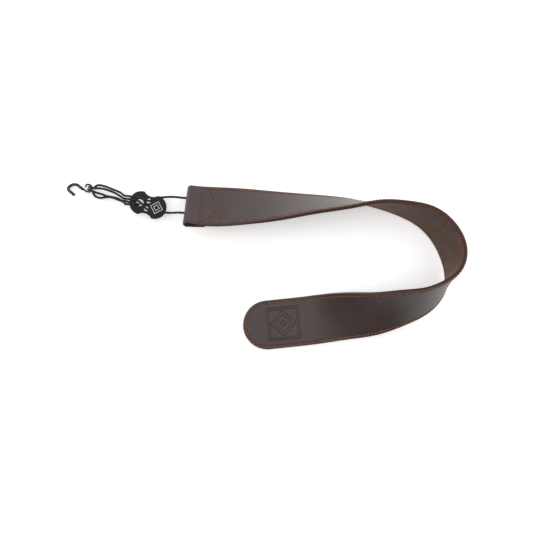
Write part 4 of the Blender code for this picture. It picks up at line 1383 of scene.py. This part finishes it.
fullness = (1 + 0.05 * np.exp(-(from_tip / 0.002) ** 2)
            - 0.22 * np.exp(-bend_run / 0.0006) + 0.015 * np.sin(bend_run * 900))
dome_places, dome_shares = zip(*dome)
coat_radii = COATING_RADIUS * np.array([*fullness, *(fullness[-1] * np.array(dome_shares))])
coating = round_bar("hook_sleeve_shaped", [*bend_line, *dome_places], coat_radii, 5)

# %% Wire and eye
EYE_LENGTH = 0.0058
EYE_WIDTH = 0.0074
EYE_CORNER = 0.0020
far, half_eye = -EYE_LENGTH, EYE_WIDTH / 2
eye_line = [(far + 0.0006, -half_eye + 0.0005), (far + EYE_CORNER, -half_eye)]
for centre, first in (((-EYE_CORNER, -half_eye + EYE_CORNER), -90),
                      ((-EYE_CORNER, half_eye - EYE_CORNER), 0),
                      ((far + EYE_CORNER, half_eye - EYE_CORNER), 90)):
    for k in range(9):
        angle = math.radians(first + 90 * k / 8)
        eye_line.append((centre[0] + EYE_CORNER * math.cos(angle),
                         centre[1] + EYE_CORNER * math.sin(angle)))
eye_line.append((far, 0.0))
in_coating = even_line(hook_places, 0.0012)[:6]
wire_points = [*reversed(in_coating), *(on_eye(a, b, 0) for a, b in eye_line)]
wire = round_bar("hook_wire_shaped", wire_points, [WIRE_RADIUS] * len(wire_points), 4)

# %% [markdown]
# ### Coating and wire finishes
#
# Dipped vinyl is smooth but never quite even: it has a soft orange peel, and
# dust dulls it in patches.  The wire is blackened steel, still metallic, and
# bright where the cord rubs on it.

# %% Hook finishes
coat_finish, tree, shader = new_finish("vinyl_coating", (0.016, 0.017, 0.016), 0.42)
peel = noise(object_places(tree), 900.0, 2.0)
dust = noise(object_places(tree), 420.0, 5.0, 0.65)
set_inputs(shader, {
    "Base Color": ramp(dust, [(0.35, (0.008, 0.009, 0.008)), (0.75, (0.024, 0.025, 0.022))]),
    "Roughness": span(dust, 0.30, 0.55), "Normal": bump(peel, 0.00008, 0.35)})

wire_finish, tree, shader = new_finish("black_wire", (0.016, 0.017, 0.016), 0.40, 0.3)
rubs = noise(object_places(tree), 1500.0, 4.0, 0.6)
set_inputs(shader, {
    "Base Color": ramp(rubs, [(0.45, (0.012, 0.013, 0.013)), (0.85, (0.060, 0.059, 0.056))]),
    "Roughness": span(rubs, 0.28, 0.48), "Normal": bump(rubs, 0.00003, 0.4)})

hand_over(coating, "hook_sleeve", "hook", coat_finish)
hand_over(wire, "hook_wire", "hook", wire_finish)

# %% [markdown]
# ## Splice
#
# The cord's two ends meet in a crimped metal sleeve, out of sight in the fold.
# It is an open cylinder with a wall, squeezed in two places.

# %% Splice
SPLICE_LENGTH = 0.008
SPLICE_WALL = 0.0005
CRIMP_DEPTH = 0.00012
CRIMP_REACH = 0.0007
CRIMPS_AT = (-0.0018, 0.0018)
splice_outer = CORD_RADIUS + GAP + SPLICE_WALL

splice = add_primitive("cylinder", "cord_splice_shaped", vertices=32, radius=splice_outer,
                       depth=SPLICE_LENGTH, end_fill_type="NOTHING")
with editing_edges(splice, lambda ends: abs(ends[0].z - ends[1].z) > SPLICE_LENGTH / 2):
    bpy.ops.mesh.subdivide(number_cuts=15)
for vertex in splice.data.vertices:
    crimp = CRIMP_DEPTH * sum(math.exp(-((vertex.co.z - at) / CRIMP_REACH) ** 2)
                              for at in CRIMPS_AT)
    vertex.co.xy *= 1 - crimp / splice_outer
apply_modifier(splice, "SOLIDIFY", thickness=SPLICE_WALL * 0.7, offset=-1.0)
apply_modifier(splice, "BEVEL", width=0.0001, segments=2, limit_method="ANGLE")
first, last = (in_strap(FOLD_AT, side * SPLICE_LENGTH / 2, FOLD_HEIGHT) for side in (-1, 1))
splice.location = (first + last) / 2
splice.rotation_euler = (last - first).to_track_quat("Z", "Y").to_euler()
settle_in_mesh(splice)
smooth_by_angle(splice, 40)

splice_finish, tree, shader = new_finish("splice_metal", (0.45, 0.44, 0.42), 0.35, 0.9)
tarnish = noise(object_places(tree), 600.0, 4.0)
set_inputs(shader, {
    "Base Color": ramp(tarnish, [(0.3, (0.30, 0.29, 0.27)), (0.7, (0.56, 0.55, 0.52))]),
    "Roughness": span(tarnish, 0.25, 0.50), "Normal": bump(tarnish, 0.00003, 0.4)})
hand_over(splice, "cord_splice", "strap", splice_finish)

# %% [markdown]

# %% [markdown]
# ## Floor and light
#
# The table is plain and nearly white.  One broad soft light hangs above, a
# second comes from the far side, where the strap's leaning faces mirror it, and
# the near side stays darker, which gives the leather its depth.

# %% Floor
floor = add_primitive("plane", "floor", size=4.0, location=(0, 0, -0.0004))
floor_finish, tree, shader = new_finish("pale_table", (0.93, 0.93, 0.93), 0.85)
set_inputs(shader, {"Emission Color": (1.0, 1.0, 1.0, 1.0), "Emission Strength": 0.36})
floor.data.materials.append(floor_finish)

# %% [markdown]
# The room itself gives most of the light.  Its far wall is a window and its near
# wall is dark, so the light fades smoothly from one to the other, and a glossy
# face shows which way it leans.

# %% Lights
LIT_PLACE = (0.0, 0.08, 0.0)


def soft_light(name, place, size, watts, colour=(1.0, 1.0, 1.0)):
    """A rectangular lamp that faces the strap."""
    data = bpy.data.lights.new(name, "AREA")
    data.shape = "RECTANGLE"
    data.size, data.size_y = size
    data.energy = watts
    data.color = colour
    lamp = bpy.data.objects.new(name, data)
    lamp.location = place
    way = Vector(LIT_PLACE) - Vector(place)
    lamp.rotation_euler = way.to_track_quat("-Z", "Y").to_euler()
    bpy.context.collection.objects.link(lamp)


soft_light("overhead", (0.0, 0.30, 1.6), (2.4, 2.0), 9.0)
soft_light("far_window", (-0.3, 1.7, 0.55), (2.4, 0.9), 3.0, (0.97, 0.99, 1.0))
soft_light("left_fill", (-1.3, 0.1, 0.8), (0.9, 0.9), 1.5)

world = bpy.data.worlds.new("studio")
world.use_nodes = True
tree = world.node_tree
room = split(add_node(tree, "TexCoord").outputs["Generated"])
towards_window = plus(times(room["Y"], 0.45), times(room["Z"], 0.175))
room_light = ramp(plus(towards_window, 0.5),
                  [(0.12, (0.035, 0.033, 0.032)), (0.44, (0.15, 0.15, 0.15)),
                   (0.660, (0.98, 0.96, 0.94)), (0.95, (0.40, 0.42, 0.44))])
set_inputs(tree.nodes["Background"], {"Color": room_light, "Strength": 1.4})
bpy.context.scene.world = world
bpy.context.scene.view_settings.view_transform = "Standard"

# %% The end
bpy.context.view_layer.update()
